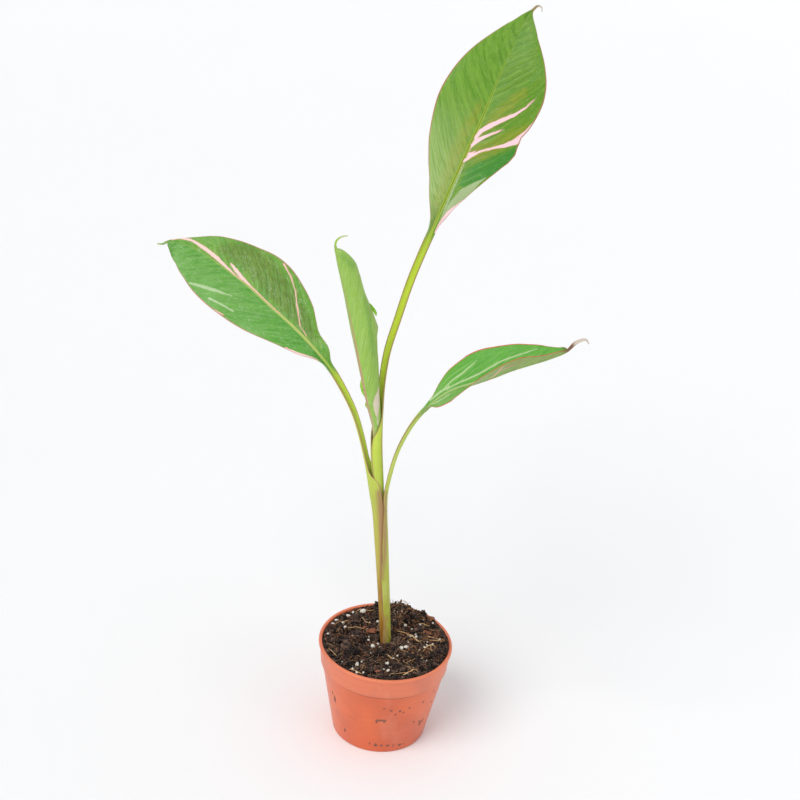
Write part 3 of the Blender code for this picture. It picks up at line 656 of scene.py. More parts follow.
# Clods that stand out: place in mm, half length, half width and half height in mm.
CLODS = (
    (-30.0, -24.0, 10.5, 7.5, 4.4), (-38.0, -8.0, 6.0, 5.5, 3.0), (-22.0, -4.0, 6.0, 4.6, 3.0),
    (-1.0, -22.0, 6.8, 5.2, 3.8), (10.0, -15.5, 4.6, 3.8, 3.0), (27.0, -26.0, 7.6, 5.2, 3.2),
    (11.0, -42.0, 5.2, 5.0, 3.6), (-12.0, -43.0, 5.4, 3.8, 2.6), (-25.0, 20.0, 4.8, 3.8, 2.6),
    (29.0, 14.0, 6.0, 4.4, 2.8), (-8.0, 47.0, 5.4, 3.4, 3.2), (20.0, 29.0, 6.0, 5.0, 3.4),
    (42.0, -18.0, 4.6, 4.0, 2.4), (-44.0, 8.0, 4.4, 3.6, 2.2), (30.0, 40.0, 5.0, 4.0, 2.8),
)
clods = [(on_soil(x, y, 0.0002 * h), (a / MM_IN_METRE, b / MM_IN_METRE, h / MM_IN_METRE),
          (draw.uniform(-0.2, 0.2), draw.uniform(-0.2, 0.2), draw.uniform(0.0, 3.1)), draw.random() * 100.0)
         for x, y, a, b, h in CLODS]
points, faces, lie = broken(clods, 5, 0.95)
piece = add_piece("soil_clods", points, faces, [peat], lie, sharp=60.0)

heap = lie_on_soil(70, 0.0125, REACH, 0.0014, 0.0036, 0.15)
for turns, reach, count in (((15.0, 112.0), (0.036, 0.0545), 60), ((-20.0, 20.0), (0.046, 0.0555), 30)):
    for _ in range(count):
        x, y = arc_spot(turns, reach)
        size = draw.uniform(0.0011, 0.0030)
        heap.append(((x, y, soil_height(x, y, fine=False) + draw.uniform(-0.2, 0.8) * size),
                     (size, size * 0.8, size * 0.7), any_turn(), draw.random() * 100.0))
points, faces, lie = broken(heap, 3, 0.7)
piece = add_piece("soil_lumps", points, faces, [peat], lie, sharp=60.0)

crumbs = lie_on_soil(1300, 0.0075, 0.0555, 0.0005, 0.0017, 0.35, 0.9, 1.4)
points, faces, lie = broken(crumbs, 2, 0.7)
piece = add_piece("soil_crumbs", points, faces, [peat], lie, sharp=60.0)

brown_grit = grain_material("brown_grit", [(0.35, "#1A1513"), (0.50, "#4C3E36"), (0.65, "#A08A74")],
                            0.9, 130.0, 0.0005)
grit = lie_on_soil(3200, 0.0070, 0.0558, 0.0002, 0.0007, 0.9, 0.9, 1.0)
points, faces = broken(grit, 1, 0.5)[:2]
piece = add_piece("soil_grit", points, faces, [brown_grit])

# Perlite: place and size in mm of the grains that stand out, then a scatter of small ones.
PERLITE = (
    (-22.8, 37.4, 5.0, 4.4), (-10.9, -12.2, 4.0, 3.4), (14.6, -14.3, 3.4, 3.6), (18.6, -12.4, 3.6, 3.2),
    (-23.4, -40.9, 2.6, 5.6), (2.9, -38.5, 3.2, 2.8), (-37.4, 9.9, 2.6, 2.2), (16.6, 18.0, 2.8, 2.4),
    (-45.9, 25.1, 3.8, 1.8), (-36.0, 31.0, 3.6, 2.4), (-32.0, 36.0, 2.6, 2.2), (-8.6, 24.0, 2.8, 2.4),
    (-6.5, -8.4, 2.2, 1.8), (-4.0, -13.4, 2.4, 1.6), (-27.0, -45.5, 2.4, 1.8), (4.4, -47.4, 2.2, 4.2),
    (-17.0, -50.0, 1.8, 2.4), (30.0, 20.0, 1.8, 1.6), (48.0, -1.0, 1.8, 1.6), (-30.0, 2.0, 1.6, 1.4),
    (35.0, -12.0, 2.0, 1.6), (-34.0, -9.0, 1.4, 1.2), (-40.0, 18.0, 2.0, 1.6), (-49.0, 19.0, 3.2, 1.6),
    (26.0, 31.0, 1.6, 1.8), (22.0, 4.0, 1.6, 1.4), (33.0, -26.0, 1.6, 1.4), (8.0, -30.0, 1.4, 1.4),
)
perlite = grain_material("perlite", [(0.34, "#A89A84"), (0.46, "#DDD5C6"), (0.60, "#F6F4EE")],
                         0.8, 260.0, 0.0004)
grains = []
for x, y, wide, deep in PERLITE:
    wide, deep = wide / MM_IN_METRE, deep / MM_IN_METRE
    low = 0.5 * min(wide, deep)
    grains.append((on_soil(x, y, low + GRAIN_LIFT), (0.5 * wide, 0.5 * deep, 0.9 * low),
                   (0.0, 0.0, draw.uniform(-0.4, 0.4)), draw.random() * 100.0))
grains += lie_on_soil(260, 0.0085, 0.0550, 0.00015, 0.0012, 1.3, 0.8, 3.2)
points, faces = broken(grains, 2, 0.75)[:2]
piece = add_piece("perlite_grains", points, faces, [perlite])

# Bark: place in mm, length, width and thickness, and heading in degrees.
BARK = (
    (-13.2, 9.6, 9.5, 6.5, 2.6, 10), (39.8, 35.0, 7.0, 8.0, 2.2, 25), (37.0, 7.2, 8.0, 2.4, 1.8, -25),
    (44.0, 3.4, 6.5, 2.0, 1.6, -32), (-5.4, -48.0, 6.0, 2.6, 1.6, -8), (-20.0, 15.0, 6.0, 1.8, 1.4, 30),
    (24.0, -20.0, 5.0, 1.8, 1.2, 25), (-2.0, 40.0, 4.4, 2.0, 1.4, 70), (30.0, -30.0, 4.0, 1.5, 1.2, -50),
    (11.0, 50.0, 1.6, 1.4, 6.0, 0), (-38.0, -14.0, 4.0, 1.6, 1.2, 15), (18.0, 40.0, 3.6, 2.0, 1.4, -20),
    (-30.0, 47.0, 6.0, 1.6, 1.2, 12), (8.0, 13.0, 4.0, 1.6, 1.2, -15),
)
bark = grain_material("bark", [(0.34, "#3F2419"), (0.48, "#7B4A35"), (0.60, "#A5694F"), (0.70, "#C08A6E")],
                      0.85, 330.0, 0.0006)
chips = []
for x, y, length, width, thick, heading in BARK:
    size = (0.5e-3 * length, 0.5e-3 * width, 0.5e-3 * thick)
    chips.append((on_soil(x, y, GRAIN_LIFT + 0.8 * size[2]), size,
                  (draw.uniform(-0.25, 0.25), draw.uniform(-0.25, 0.25), math.radians(heading)),
                  draw.random() * 100.0))
points, faces = broken(chips, 3, 0.35)[:2]
piece = add_piece("bark_chips", points, faces, [bark], sharp=50.0)


def straws(routes, sides=5):
    """Points and faces of thin stems along routes [(list of places, radius), ...]."""
    points, faces = [], []
    for places, radius in routes:
        start = len(points)
        places = [Vector(p) for p in places]
        for i, p in enumerate(places):
            along = places[min(i + 1, len(places) - 1)] - places[max(i - 1, 0)]
            side = along.cross(Vector((0.0, 0.0, 1.0))).normalized()
            up = side.cross(along).normalized()
            thin = radius * (0.45 if i in (0, len(places) - 1) else 1.0)
            for k in range(sides):
                a = 2.0 * math.pi * k / sides
                points.append(p + (side * math.cos(a) + up * math.sin(a)) * thin)
        faces += tube_faces(len(places), sides, start)
    return points, faces


# Straws: two ends in mm, how far the middle bows aside and up, and the radius in mm, which is
# made stouter by STRAW_STOUTNESS.
STRAWS = (
    (-3.5, -17.2, 6.9, -30.6, 0.6, 0.8, 0.40), (7.9, 9.5, 30.9, -4.5, 3.4, 1.2, 0.45),
    (17.4, -49.5, 29.4, -40.5, -0.6, 0.8, 0.42), (-35.0, 10.4, -17.0, 12.2, 0.5, 1.0, 0.30),
    (-30.0, 41.0, -12.0, 42.0, 0.8, 1.0, 0.32), (36.0, 1.0, 55.0, -7.0, 1.5, 1.2, 0.34),
    (38.0, -2.0, 54.5, -3.0, -1.8, 1.5, 0.28), (34.0, -16.0, 46.0, -10.0, 2.2, 0.9, 0.34),
    (28.0, 22.0, 46.0, 18.0, 0.8, 0.9, 0.30), (-50.0, -18.0, -42.0, -28.0, -0.8, 0.6, 0.26),
    (-30.0, -46.0, -18.0, -51.5, 0.5, 0.5, 0.30), (8.0, 50.0, 19.0, 54.0, -1.0, 4.0, 0.26),
    (-47.0, 16.0, -35.0, 24.0, 1.5, 0.7, 0.24), (-14.0, 22.0, -24.0, 30.0, 1.6, 0.8, 0.24),
    (6.0, -50.0, 20.0, -47.0, 0.6, 0.6, 0.22), (22.0, -32.0, 30.0, -20.0, -1.4, 0.8, 0.22),
)
dry_straw = grain_material("dry_straw", [(0.32, "#8A6038"), (0.48, "#C99A66"), (0.62, "#EBCFA2")],
                           0.75, 260.0, 0.0002)


def straw_route(x0, y0, x1, y1, bow, lift, steps=9):
    """Places along a stem from x0, y0 to x1, y1, all in mm, that bows aside and up in the middle."""
    places = []
    length = math.hypot(x1 - x0, y1 - y0)
    for t in np.linspace(0.0, 1.0, steps):
        bend = bow * math.sin(math.pi * t) + 0.25 * bow * math.sin(2.0 * math.pi * t)
        x = mix(x0, x1, t) - (y1 - y0) / length * bend
        y = mix(y0, y1, t) + (x1 - x0) / length * bend
        places.append(on_soil(x, y, STRAW_LIFT + 0.001 * lift * math.sin(math.pi * t)))
    return places


routes = [(straw_route(*row[:6]), row[6] * STRAW_STOUTNESS / MM_IN_METRE) for row in STRAWS]
# Short dry needles: most of them lie on the right, the rest are scattered.
for k in range(150):
    angle = math.radians(draw.uniform(-75.0, 75.0) if k < 95 else draw.uniform(0.0, 360.0))
    radius = 54.0 * math.sqrt(draw.uniform(0.06, 1.0))
    x, y = radius * math.cos(angle), radius * math.sin(angle)
    heading, length = 2.0 * math.pi * draw.random(), draw.uniform(2.5, 9.0)
    x1, y1 = x + length * math.cos(heading), y + length * math.sin(heading)
    inner, outer = NEEDLE_LIMITS
    if math.hypot(x1, y1) < outer and min(math.hypot(x, y), math.hypot(x1, y1)) > inner:
        routes.append((straw_route(x, y, x1, y1, draw.uniform(-0.8, 0.8), draw.uniform(0.1, 0.8), 5),
                       draw.uniform(0.00010, 0.00021)))
points, faces = straws(routes)
piece = add_piece("straws", points, faces, [dry_straw])

brown_fibre = grain_material("brown_fibre", [(0.34, "#4A2C1E"), (0.48, "#85553A"), (0.60, "#B38460"),
                                             (0.70, "#DDC09A")], 0.8, 120.0, 0.0002)
routes = []
for _ in range(460):
    x, y = soil_spot(0.0080, 0.0540)
    heading = 2.0 * math.pi * draw.random()
    length = mix(2.0, 9.0, draw.random() ** 1.6)
    x, y = MM_IN_METRE * x, MM_IN_METRE * y
    x1, y1 = x + length * math.cos(heading), y + length * math.sin(heading)
    inner, outer = FIBRE_LIMITS
    if math.hypot(x1, y1) > outer or math.hypot(x1 - MM_IN_METRE * STEM_X_AT_SOIL, y1) < inner:
        continue
    route = straw_route(x, y, x1, y1, draw.uniform(-1.6, 1.6), mix(0.2, 1.6, draw.random()), 7)
    tilt = draw.uniform(0.0, 0.0016)
    routes.append(([(p[0], p[1], p[2] + tilt * j / 6.0 + 0.0003) for j, p in enumerate(route)],
                   mix(0.00010, 0.00028, draw.random() ** 1.5)))
# Tufts of fibre stand up from the mound at the back and from the right edge.
for turns, reach, count in (((28.0, 100.0), (0.026, 0.0535), 120), ((-24.0, 14.0), (0.038, 0.0560), 70)):
    for _ in range(count):
        x, y = arc_spot(turns, reach)
        heading = 2.0 * math.pi * draw.random()
        climb = draw.uniform(0.1, 0.9) ** 1.5
        length = draw.uniform(0.003, 0.008)
        start = soil_height(x, y, fine=False) + 0.0004
        route = []
        for t in np.linspace(0.0, 1.0, 6):
            bow = 0.15 * length * math.sin(math.pi * t)
            route.append((x + length * t * math.cos(climb) * math.cos(heading) - bow * math.sin(heading),
                          y + length * t * math.cos(climb) * math.sin(heading) + bow * math.cos(heading),
                          start + length * t * math.sin(climb)))
        if math.hypot(*route[-1][:2]) < TUFT_REACH:
            routes.append((route, draw.uniform(0.00010, 0.00022)))
points, faces = straws(routes, 4)
piece = add_piece("root_fibres", points, faces, [brown_fibre])


# Leaves
# Each leaf grew in one piece: a sheath wrapped round the younger ones, a channelled stalk, a
# midrib with the blade on both sides of it, and a thin drip tip that curls as it dries.

SHEATH_BASE = 0.0553
STALK_HALF_WIDTH = 0.0036
STALK_TURN = 1.15
STALK_CLOSES = 0.050
MARGIN_TURN = 1.45
RIB_HALF_WIDTH = 0.0018
TIP_HALF_WIDTH = 0.0009
TAIL_HALF_WIDTH = 0.0004
BLADE_THICKNESS = 0.00055
STALK_EDGE = 0.0009
STALK_KEEL = 0.0019
RIB_KEEL = 0.0022
TIP_KEEL = 0.0009
SCROLL_KEEL = 0.0014
KEEL_SPREAD = 0.0026
KEEL_SPREAD_AT_TIP = 0.0016
TIP_ROLL = 2.2
WAVE_LENGTH = 0.048
RIDGE_SPACING = 0.0085
RIDGE_HEIGHT = 0.00009
SECTION_STEPS = 240
LEAF_COLUMNS = 46
SHEATH_STATIONS = 60
STALK_STATIONS = 50
BLADE_STATIONS = 210
TAIL_STATIONS = 24


class Route:
    """A smooth curve through way-points, by the distance between them."""

    def __init__(self, values, knots=None):
        self.values = np.array(values, float)
        if knots is None:
            steps = np.linalg.norm(np.diff(self.values, axis=0), axis=1)
            knots = np.concatenate([[0.0], np.cumsum(steps)])
        self.knots = np.array(knots, float)
        gaps = np.diff(self.knots)
        runs = np.diff(self.values, axis=0) / gaps[:, None]
        self.slopes = np.empty_like(self.values)
        self.slopes[0] = runs[0]
        self.slopes[-1] = runs[-1]
        before, after = gaps[:-1, None], gaps[1:, None]
        self.slopes[1:-1] = (after * runs[:-1] + before * runs[1:]) / (before + after)

    def at(self, s):
        i = int(np.clip(np.searchsorted(self.knots, s, side="right") - 1, 0, len(self.knots) - 2))
        gap = self.knots[i + 1] - self.knots[i]
        t = (s - self.knots[i]) / gap
        a, b = self.values[i], self.values[i + 1]
        u, v = self.slopes[i] * gap, self.slopes[i + 1] * gap
        place = ((2 * t ** 3 - 3 * t ** 2 + 1) * a + (t ** 3 - 2 * t ** 2 + t) * u
                 + (3 * t ** 2 - 2 * t ** 3) * b + (t ** 3 - t ** 2) * v)
        slope = ((6 * t ** 2 - 6 * t) * (a - b) + (3 * t ** 2 - 4 * t + 1) * u
                 + (3 * t ** 2 - 2 * t) * v) / gap
        return place, slope


class Half:
    """One half of a blade: its outline, how it folds and droops, and its margin's waves.

    width, peak   the greatest width, and where it is as a share of the blade's length
    base, tip     how fast the outline narrows towards the stalk and towards the tip
    fold, droop   the half's angle to the blade's plane from stalk to tip, and how far it bends down
    wave, phase   height of the margin's waves in metres, and where they start
    open_at       where the stalk's channel has opened into the blade
    trim          factors on the width [(share of the length, factor), ...]
    """

    def __init__(self, width, peak, base, tip, fold=(0.0,), droop=0.35, wave=0.001, phase=0.0,
                 open_at=0.16, trim=((0.0, 1.0),)):
        self.width, self.peak, self.base, self.tip = width, peak, base, tip
        self.fold, self.droop, self.wave, self.phase = fold, droop, wave, phase
        self.open_at, self.trim = open_at, list(zip(*trim))

    def half_width(self, x):
        x = min(max(x, 0.0), 1.0)
        turn = x ** (math.log(0.5) / math.log(self.peak))
        width = self.width * math.sin(math.pi * turn) ** mix(self.base, self.tip, x)
        return width * float(np.interp(x, *self.trim))

    def fold_at(self, x):
        return float(np.interp(x, np.linspace(0.0, 1.0, len(self.fold)), self.fold))


class Leaf:
    """A sheath round the stem, a channelled stalk and a blade, along one route.

    azimuth             heading of the sheath's back from the stem's middle, in degrees
    radii, thickness    of the sheath, at its foot and its top; flare says how late it widens
    opening             how far round each wing wraps at foot and top, and where it starts to open
    stalk, blade, tail  way-points [(place, which way the upper face looks), ...]
    halves              the blade's left and right half, as seen on its upper face with the tip up
    scroll              how far each half rolls up and how its curl tightens, for a rolled leaf
    vein_slope          how far the veins run back for each metre outwards
    wings               see half_section
    """

    def __init__(self, azimuth, radii, thickness, sheath_top, opening, stalk, blade, tail,
                 halves, scroll=None, vein_slope=1.05, wings=(None, None), tail_width=TIP_HALF_WIDTH,
                 flare=1.0):
        self.flare = flare
        self.radii, self.thickness, self.opening, self.wings = radii, thickness, opening, wings
        self.halves, self.scroll, self.vein_slope = halves, scroll, vein_slope
        self.tail_width = tail_width
        angle = math.radians(azimuth)
        out = np.array([math.cos(angle), math.sin(angle), STEM_LEAN * math.cos(angle)])
        points, facing = [], []
        for share in (0.0, 0.3, 0.55, 0.78, 1.0):
            z = mix(SHEATH_BASE, sheath_top, share)
            points.append(np.array([stem_x(z), 0.0, z]) + out * mix(radii[0], radii[1], share ** flare))
            facing.append(-out)
        marks = [len(points) - 1]
        for stretch in (stalk, blade, tail):
            for point, normal in stretch:
                points.append(point)
                facing.append(np.array(normal) / np.linalg.norm(normal))
            marks.append(len(points) - 1)
        self.route = Route(points)
        self.facing = Route(facing, self.route.knots)
        self.top, self.foot, self.tip, self.end = (self.route.knots[m] for m in marks)

    def frame(self, s):
        place, along = self.route.at(s)
        along = along / np.linalg.norm(along)
        up = self.facing.at(s)[0]
        up = up - along * (up @ along)
        up = up / np.linalg.norm(up)
        return place, np.cross(along, up), up

    def blade_share(self, s):
        return (s - self.foot) / (self.tip - self.foot)

    def half_section(self, s, side):
        """As plain_half, but the sheath's wing on that side wraps as far as wings says.

        wings holds [(s, turn, radius), ...] in order for a side, or None for a plain wing.
        """
        wing = self.wings[side]
        if not wing or s > wing[-1][0]:
            return self.plain_half(s, side)
        stops = list(zip(*wing))
        turn, radius = np.interp(s, stops[0], stops[1]), np.interp(s, stops[0], stops[2])
        return radius * turn, radius * turn, turn, 0.0, 0.0

    def plain_half(self, s, side):
        """Half width, channel width, turn of the channel, droop and curl at s."""
        half = self.halves[side]
        stalk_turn = self.opening[1] if self.scroll else STALK_TURN
        stalk_width = self.radii[1] * stalk_turn if self.scroll else STALK_HALF_WIDTH
        if s <= self.top:
            share = s / self.top
            turn = mix(self.opening[0], self.opening[1],
                       smooth((share - self.opening[2]) / (1.0 - self.opening[2])))
            width = turn * mix(self.radii[0], self.radii[1], share ** self.flare)
            return width, width, turn, 0.0, 0.0
        if s <= self.foot:
            share = (s - self.top) / min(STALK_CLOSES, self.foot - self.top)
            turn = mix(self.opening[1], min(self.opening[1], MARGIN_TURN), smooth(share * 3.0))
            turn = mix(turn, stalk_turn, smooth(share * 1.5 - 0.5))
            radius = mix(self.radii[1], stalk_width / stalk_turn, smooth(share * 1.4 - 0.4))
            return radius * turn, radius * turn, turn, 0.0, 0.0
        if s >= self.tip:
            share = (s - self.tip) / (self.end - self.tip)
            width = mix(self.tail_width, TAIL_HALF_WIDTH, share ** 1.3)
            return width, width, 1.0, 0.0, 0.0
        x = self.blade_share(s)
        width = mix(stalk_width, self.tail_width, smooth(x * 2.5)) + half.half_width(x)
        if self.scroll:
            turn = mix(stalk_turn, self.scroll[side][0], smooth(x * 5.0))
            turn = mix(turn, TIP_ROLL, smooth((x - 0.70) / 0.26))
            return width, width, turn, 0.0, self.scroll[side][1] * smooth(x * 5.0)
        flat = smooth(x / half.open_at)
        channel = mix(stalk_width, RIB_HALF_WIDTH, flat)
        channel = mix(channel, TIP_HALF_WIDTH, smooth((x - 0.85) / 0.15))
        turn = mix(mix(stalk_turn, half.fold_at(x), flat), 1.0, smooth((x - 0.95) / 0.05))
        return width, min(channel, width), turn, -half.droop * flat, 0.0

    def thicknesses(self, s):
        """Edge and midrib thickness, and how far the midrib's keel spreads."""
        if s <= self.top or (self.scroll and s <= self.foot):
            return self.thickness, self.thickness, KEEL_SPREAD
        if s <= self.foot:
            share = smooth((s - self.top) / STALK_CLOSES)
            edge = mix(self.thickness, STALK_EDGE, share)
            return edge, mix(self.thickness, STALK_KEEL, share), KEEL_SPREAD
        if s >= self.tip:
            share = (s - self.tip) / (self.end - self.tip)
            return BLADE_THICKNESS, mix(TIP_KEEL, BLADE_THICKNESS, share ** 0.5), KEEL_SPREAD_AT_TIP
        x = self.blade_share(s)
        if self.scroll:
            edge = self.thickness
            keel = mix(mix(edge, SCROLL_KEEL, smooth(x * 5.0)), TIP_KEEL, x)
        else:
            edge = STALK_EDGE
            keel = mix(RIB_KEEL, TIP_KEEL, x)
        edge = mix(edge, BLADE_THICKNESS, smooth(x * 8.0))
        return edge, keel, mix(KEEL_SPREAD, KEEL_SPREAD_AT_TIP, x)

    def section(self, s):
        """Outer and inner points at s from margin to margin, with across and share of each."""
        place, across, up = self.frame(s)
        edge, keel, spread = self.thicknesses(s)
        x = self.blade_share(s)
        window = float(smooth(4.0 * x * (1.0 - x))) if 0.0 < x < 1.0 else 0.0
        rows = []
        for side, sign in ((0, -1.0), (1, 1.0)):
            half = self.halves[side]
            width, channel, turn, droop, curl = self.half_section(s, side)
            fine = np.linspace(0.0, width, SECTION_STEPS + 1)
            if curl:
                share = fine / width
                angle = turn * (share + curl * (share ** 2 - share))
            else:
                angle = turn * np.minimum(fine / channel, 1.0)
                if channel < width:
                    angle = angle + droop * np.maximum(fine - channel, 0.0) / (width - channel)
            middle = 0.5 * (angle[1:] + angle[:-1])
            run = np.concatenate([[0.0], np.cumsum(np.cos(middle))]) * fine[1]
            rise = np.concatenate([[0.0], np.cumsum(np.sin(middle))]) * fine[1]
            share = np.linspace(0.0, 1.0, LEAF_COLUMNS + 1)
            at = share * width
            theta = np.interp(at, fine, angle)[:, None]
            normal = up * np.cos(theta) - across * sign * np.sin(theta)
            point = (place + across * sign * np.interp(at, fine, run)[:, None]
                     + up * np.interp(at, fine, rise)[:, None])
            swing = math.sin(2.0 * math.pi * (s - self.foot) / WAVE_LENGTH + half.phase)
            lift = half.wave * swing * window * share ** 3
            vein = (s - self.foot) - self.vein_slope * at * (1.0 + 0.3 * share ** 3)
            bent = vein + 0.0022 * np.sin(vein / 0.0071) + 0.0016 * np.sin(vein / 0.0043 + 1.0)
            ridge = np.cos(2.0 * np.pi * bent / RIDGE_SPACING) * (0.6 + 0.4 * np.sin(vein / 0.019 + 2.0))
            ridge = ridge * smooth((at - 0.002) / 0.006) * smooth((1.0 - share) * 3.0)
            lift = lift + RIDGE_HEIGHT * ridge * window
            point = point + normal * lift[:, None]
            thick = edge + (keel - edge) * np.exp(-(at / spread) ** 2)
            thin = edge * (1.0 - 0.45 * window * smooth((share - 0.9) / 0.1))
            outer = point - normal * (thick - edge / 2.0 - (edge - thin) / 2.0)[:, None]
            inner = point + normal * (thin / 2.0)[:, None]
            row = np.column_stack([outer, inner, sign * at, sign * share, vein])
            rows.append(row[::-1] if side == 0 else row[1:])
        return np.concatenate(rows)

    def stations(self):
        blade = np.linspace(0.0, 1.0, BLADE_STATIONS + 1)[1:]
        return np.concatenate([
            self.top * np.linspace(0.0, 1.0, SHEATH_STATIONS + 1),
            np.linspace(self.top, self.foot, STALK_STATIONS + 1)[1:],
            mix(self.foot, self.tip, blade - 0.03 * np.sin(2.0 * np.pi * blade)),
            np.linspace(self.tip, self.end, TAIL_STATIONS + 1)[1:]])


NO_MARK = -9.0


def inside(strokes, s, y):
    """How far inside the nearest stroke each point lies, in mm, and less than 0 outside.

    A stroke is [(mm along the blade, mm across, half width in mm), ...].
    """
    best = np.full(s.shape, NO_MARK)
    for stroke in strokes:
        for (s0, y0, w0), (s1, y1, w1) in zip(stroke[:-1], stroke[1:]):
            ds, dy = s1 - s0, y1 - y0
            t = np.clip(((s - s0) * ds + (y - y0) * dy) / (ds * ds + dy * dy), 0.0, 1.0)
            away = np.hypot(s - s0 - t * ds, y - y0 - t * dy)
            best = np.maximum(best, w0 + (w1 - w0) * t - away)
    return best


def grow(name, leaf, materials, marks):
    """Makes a leaf's mesh: its upper face first, then its underside, in one closed skin."""
    stations = leaf.stations()
    table = np.stack([leaf.section(s) for s in stations])
    rows, span = table.shape[:2]
    ring = 2 * span
    loop = np.concatenate([table[:, :, 0:3], table[:, ::-1, 3:6]], axis=1)
    shared = np.concatenate([table[:, :, 6:9], table[:, ::-1, 6:9]], axis=1)
    along = np.repeat((stations - leaf.foot)[:, None], ring, axis=1)
    i, k = np.meshgrid(np.arange(rows - 1), np.arange(ring), indexing="ij")
    a = i * ring + k
    b = i * ring + (k + 1) % ring
    quads = np.stack([a, b, b + ring, a + ring], axis=-1).reshape(-1, 4)
    picks = (k >= span - 1).astype(np.int32)
    picks[:, ring - 1] = 0
    faces = quads.tolist()
    picks = picks.ravel().tolist()
    for start, flip in ((0, True), ((rows - 1) * ring, False)):
        for k in range(span - 1):
            low, high = start + ring - 1 - k, start + ring - 2 - k
            face = (start + k, start + k + 1, high, low)
            faces.append(face[::-1] if not flip else face)
            picks.append(0)
    s_mm, y_mm = MM_IN_METRE * along.ravel(), MM_IN_METRE * shared[:, :, 0].ravel()
    reach = {tone: inside(strokes, s_mm, y_mm) for tone, strokes in marks.items()}
    maps = {
        "leaf": np.column_stack([s_mm, y_mm]) / 100.0,
        "vein": np.column_stack([10.0 * shared[:, :, 2].ravel(), shared[:, :, 1].ravel()]),
        "streaks": np.column_stack([reach["pink"], reach["cream"]]) / 10.0,
        "patches": np.column_stack([reach["brown"], reach["deep"]]) / 10.0,
    }
    made = add_piece(name, loop.reshape(-1, 3), faces, materials, maps, picks)
    work = bmesh.new()
    work.from_mesh(made.data)
    bmesh.ops.recalc_face_normals(work, faces=work.faces)
    work.to_mesh(made.data)
    work.free()
    return made


# Vein lines: fine parallel nerves and broader ribs along the blade's own vein direction.
vein_group, wiring, given, leave = new_group("vein_lines", ("Vein",), ("Rib Spacing", "Nerve Spacing"),
                                             ("Ribs", "Troughs", "Nerves", "Height"))


def vein_noise(along, across, scale, detail):
    return wiring.noise(wiring.stretch(given["Vein"], (along, across, 1.0)), scale, detail)


def waves(spacing):
    return wiring.calc("COSINE", wiring.times(wiring.calc("DIVIDE", vein_mm, spacing), 2.0 * math.pi))


vein, share = wiring.parts(given["Vein"])[:2]
vein_mm = wiring.plus(wiring.times(vein, 100.0), wiring.times(vein_noise(3.2, 0.9, 2.0, 3.0), 9.0))
rib, nerve = waves(given["Rib Spacing"]), waves(given["Nerve Spacing"])
strong = wiring.rise(vein_noise(16.0, 1.6, 3.0, 2.0), 0.40, 0.60)
inner = wiring.rise(wiring.calc("ABSOLUTE", share), 1.0, 0.45)
broad = wiring.times(wiring.rise(vein_noise(7.0, 1.8, 2.0, 2.0), 0.36, 0.60), inner)
wiring.feed(leave["Ribs"], wiring.times(wiring.rise(rib, -0.2, 1.0), broad))
wiring.feed(leave["Troughs"], wiring.times(wiring.rest(wiring.rise(rib, -1.0, -0.2)), broad))
wiring.feed(leave["Nerves"], wiring.times(wiring.rise(nerve, 0.70, 1.0), strong))
wiring.feed(leave["Height"], wiring.plus(wiring.times(nerve, 0.35),
                                         wiring.times(rib, wiring.plus(broad, 0.3))))

# Streaky tone: noise drawn out along the veins, as the pigment lies in the blade.
streak_group, wiring, given, leave = new_group("streaky_tone", ("Vein",), ("Fineness", "Low", "High"),
                                               ("Mask",))
drawn = wiring.noise(wiring.stretch(given["Vein"], (9.0, 1.1, 1.0)), given["Fineness"], 5.0)
wiring.feed(leave["Mask"], wiring.rise(drawn, given["Low"], given["High"]))


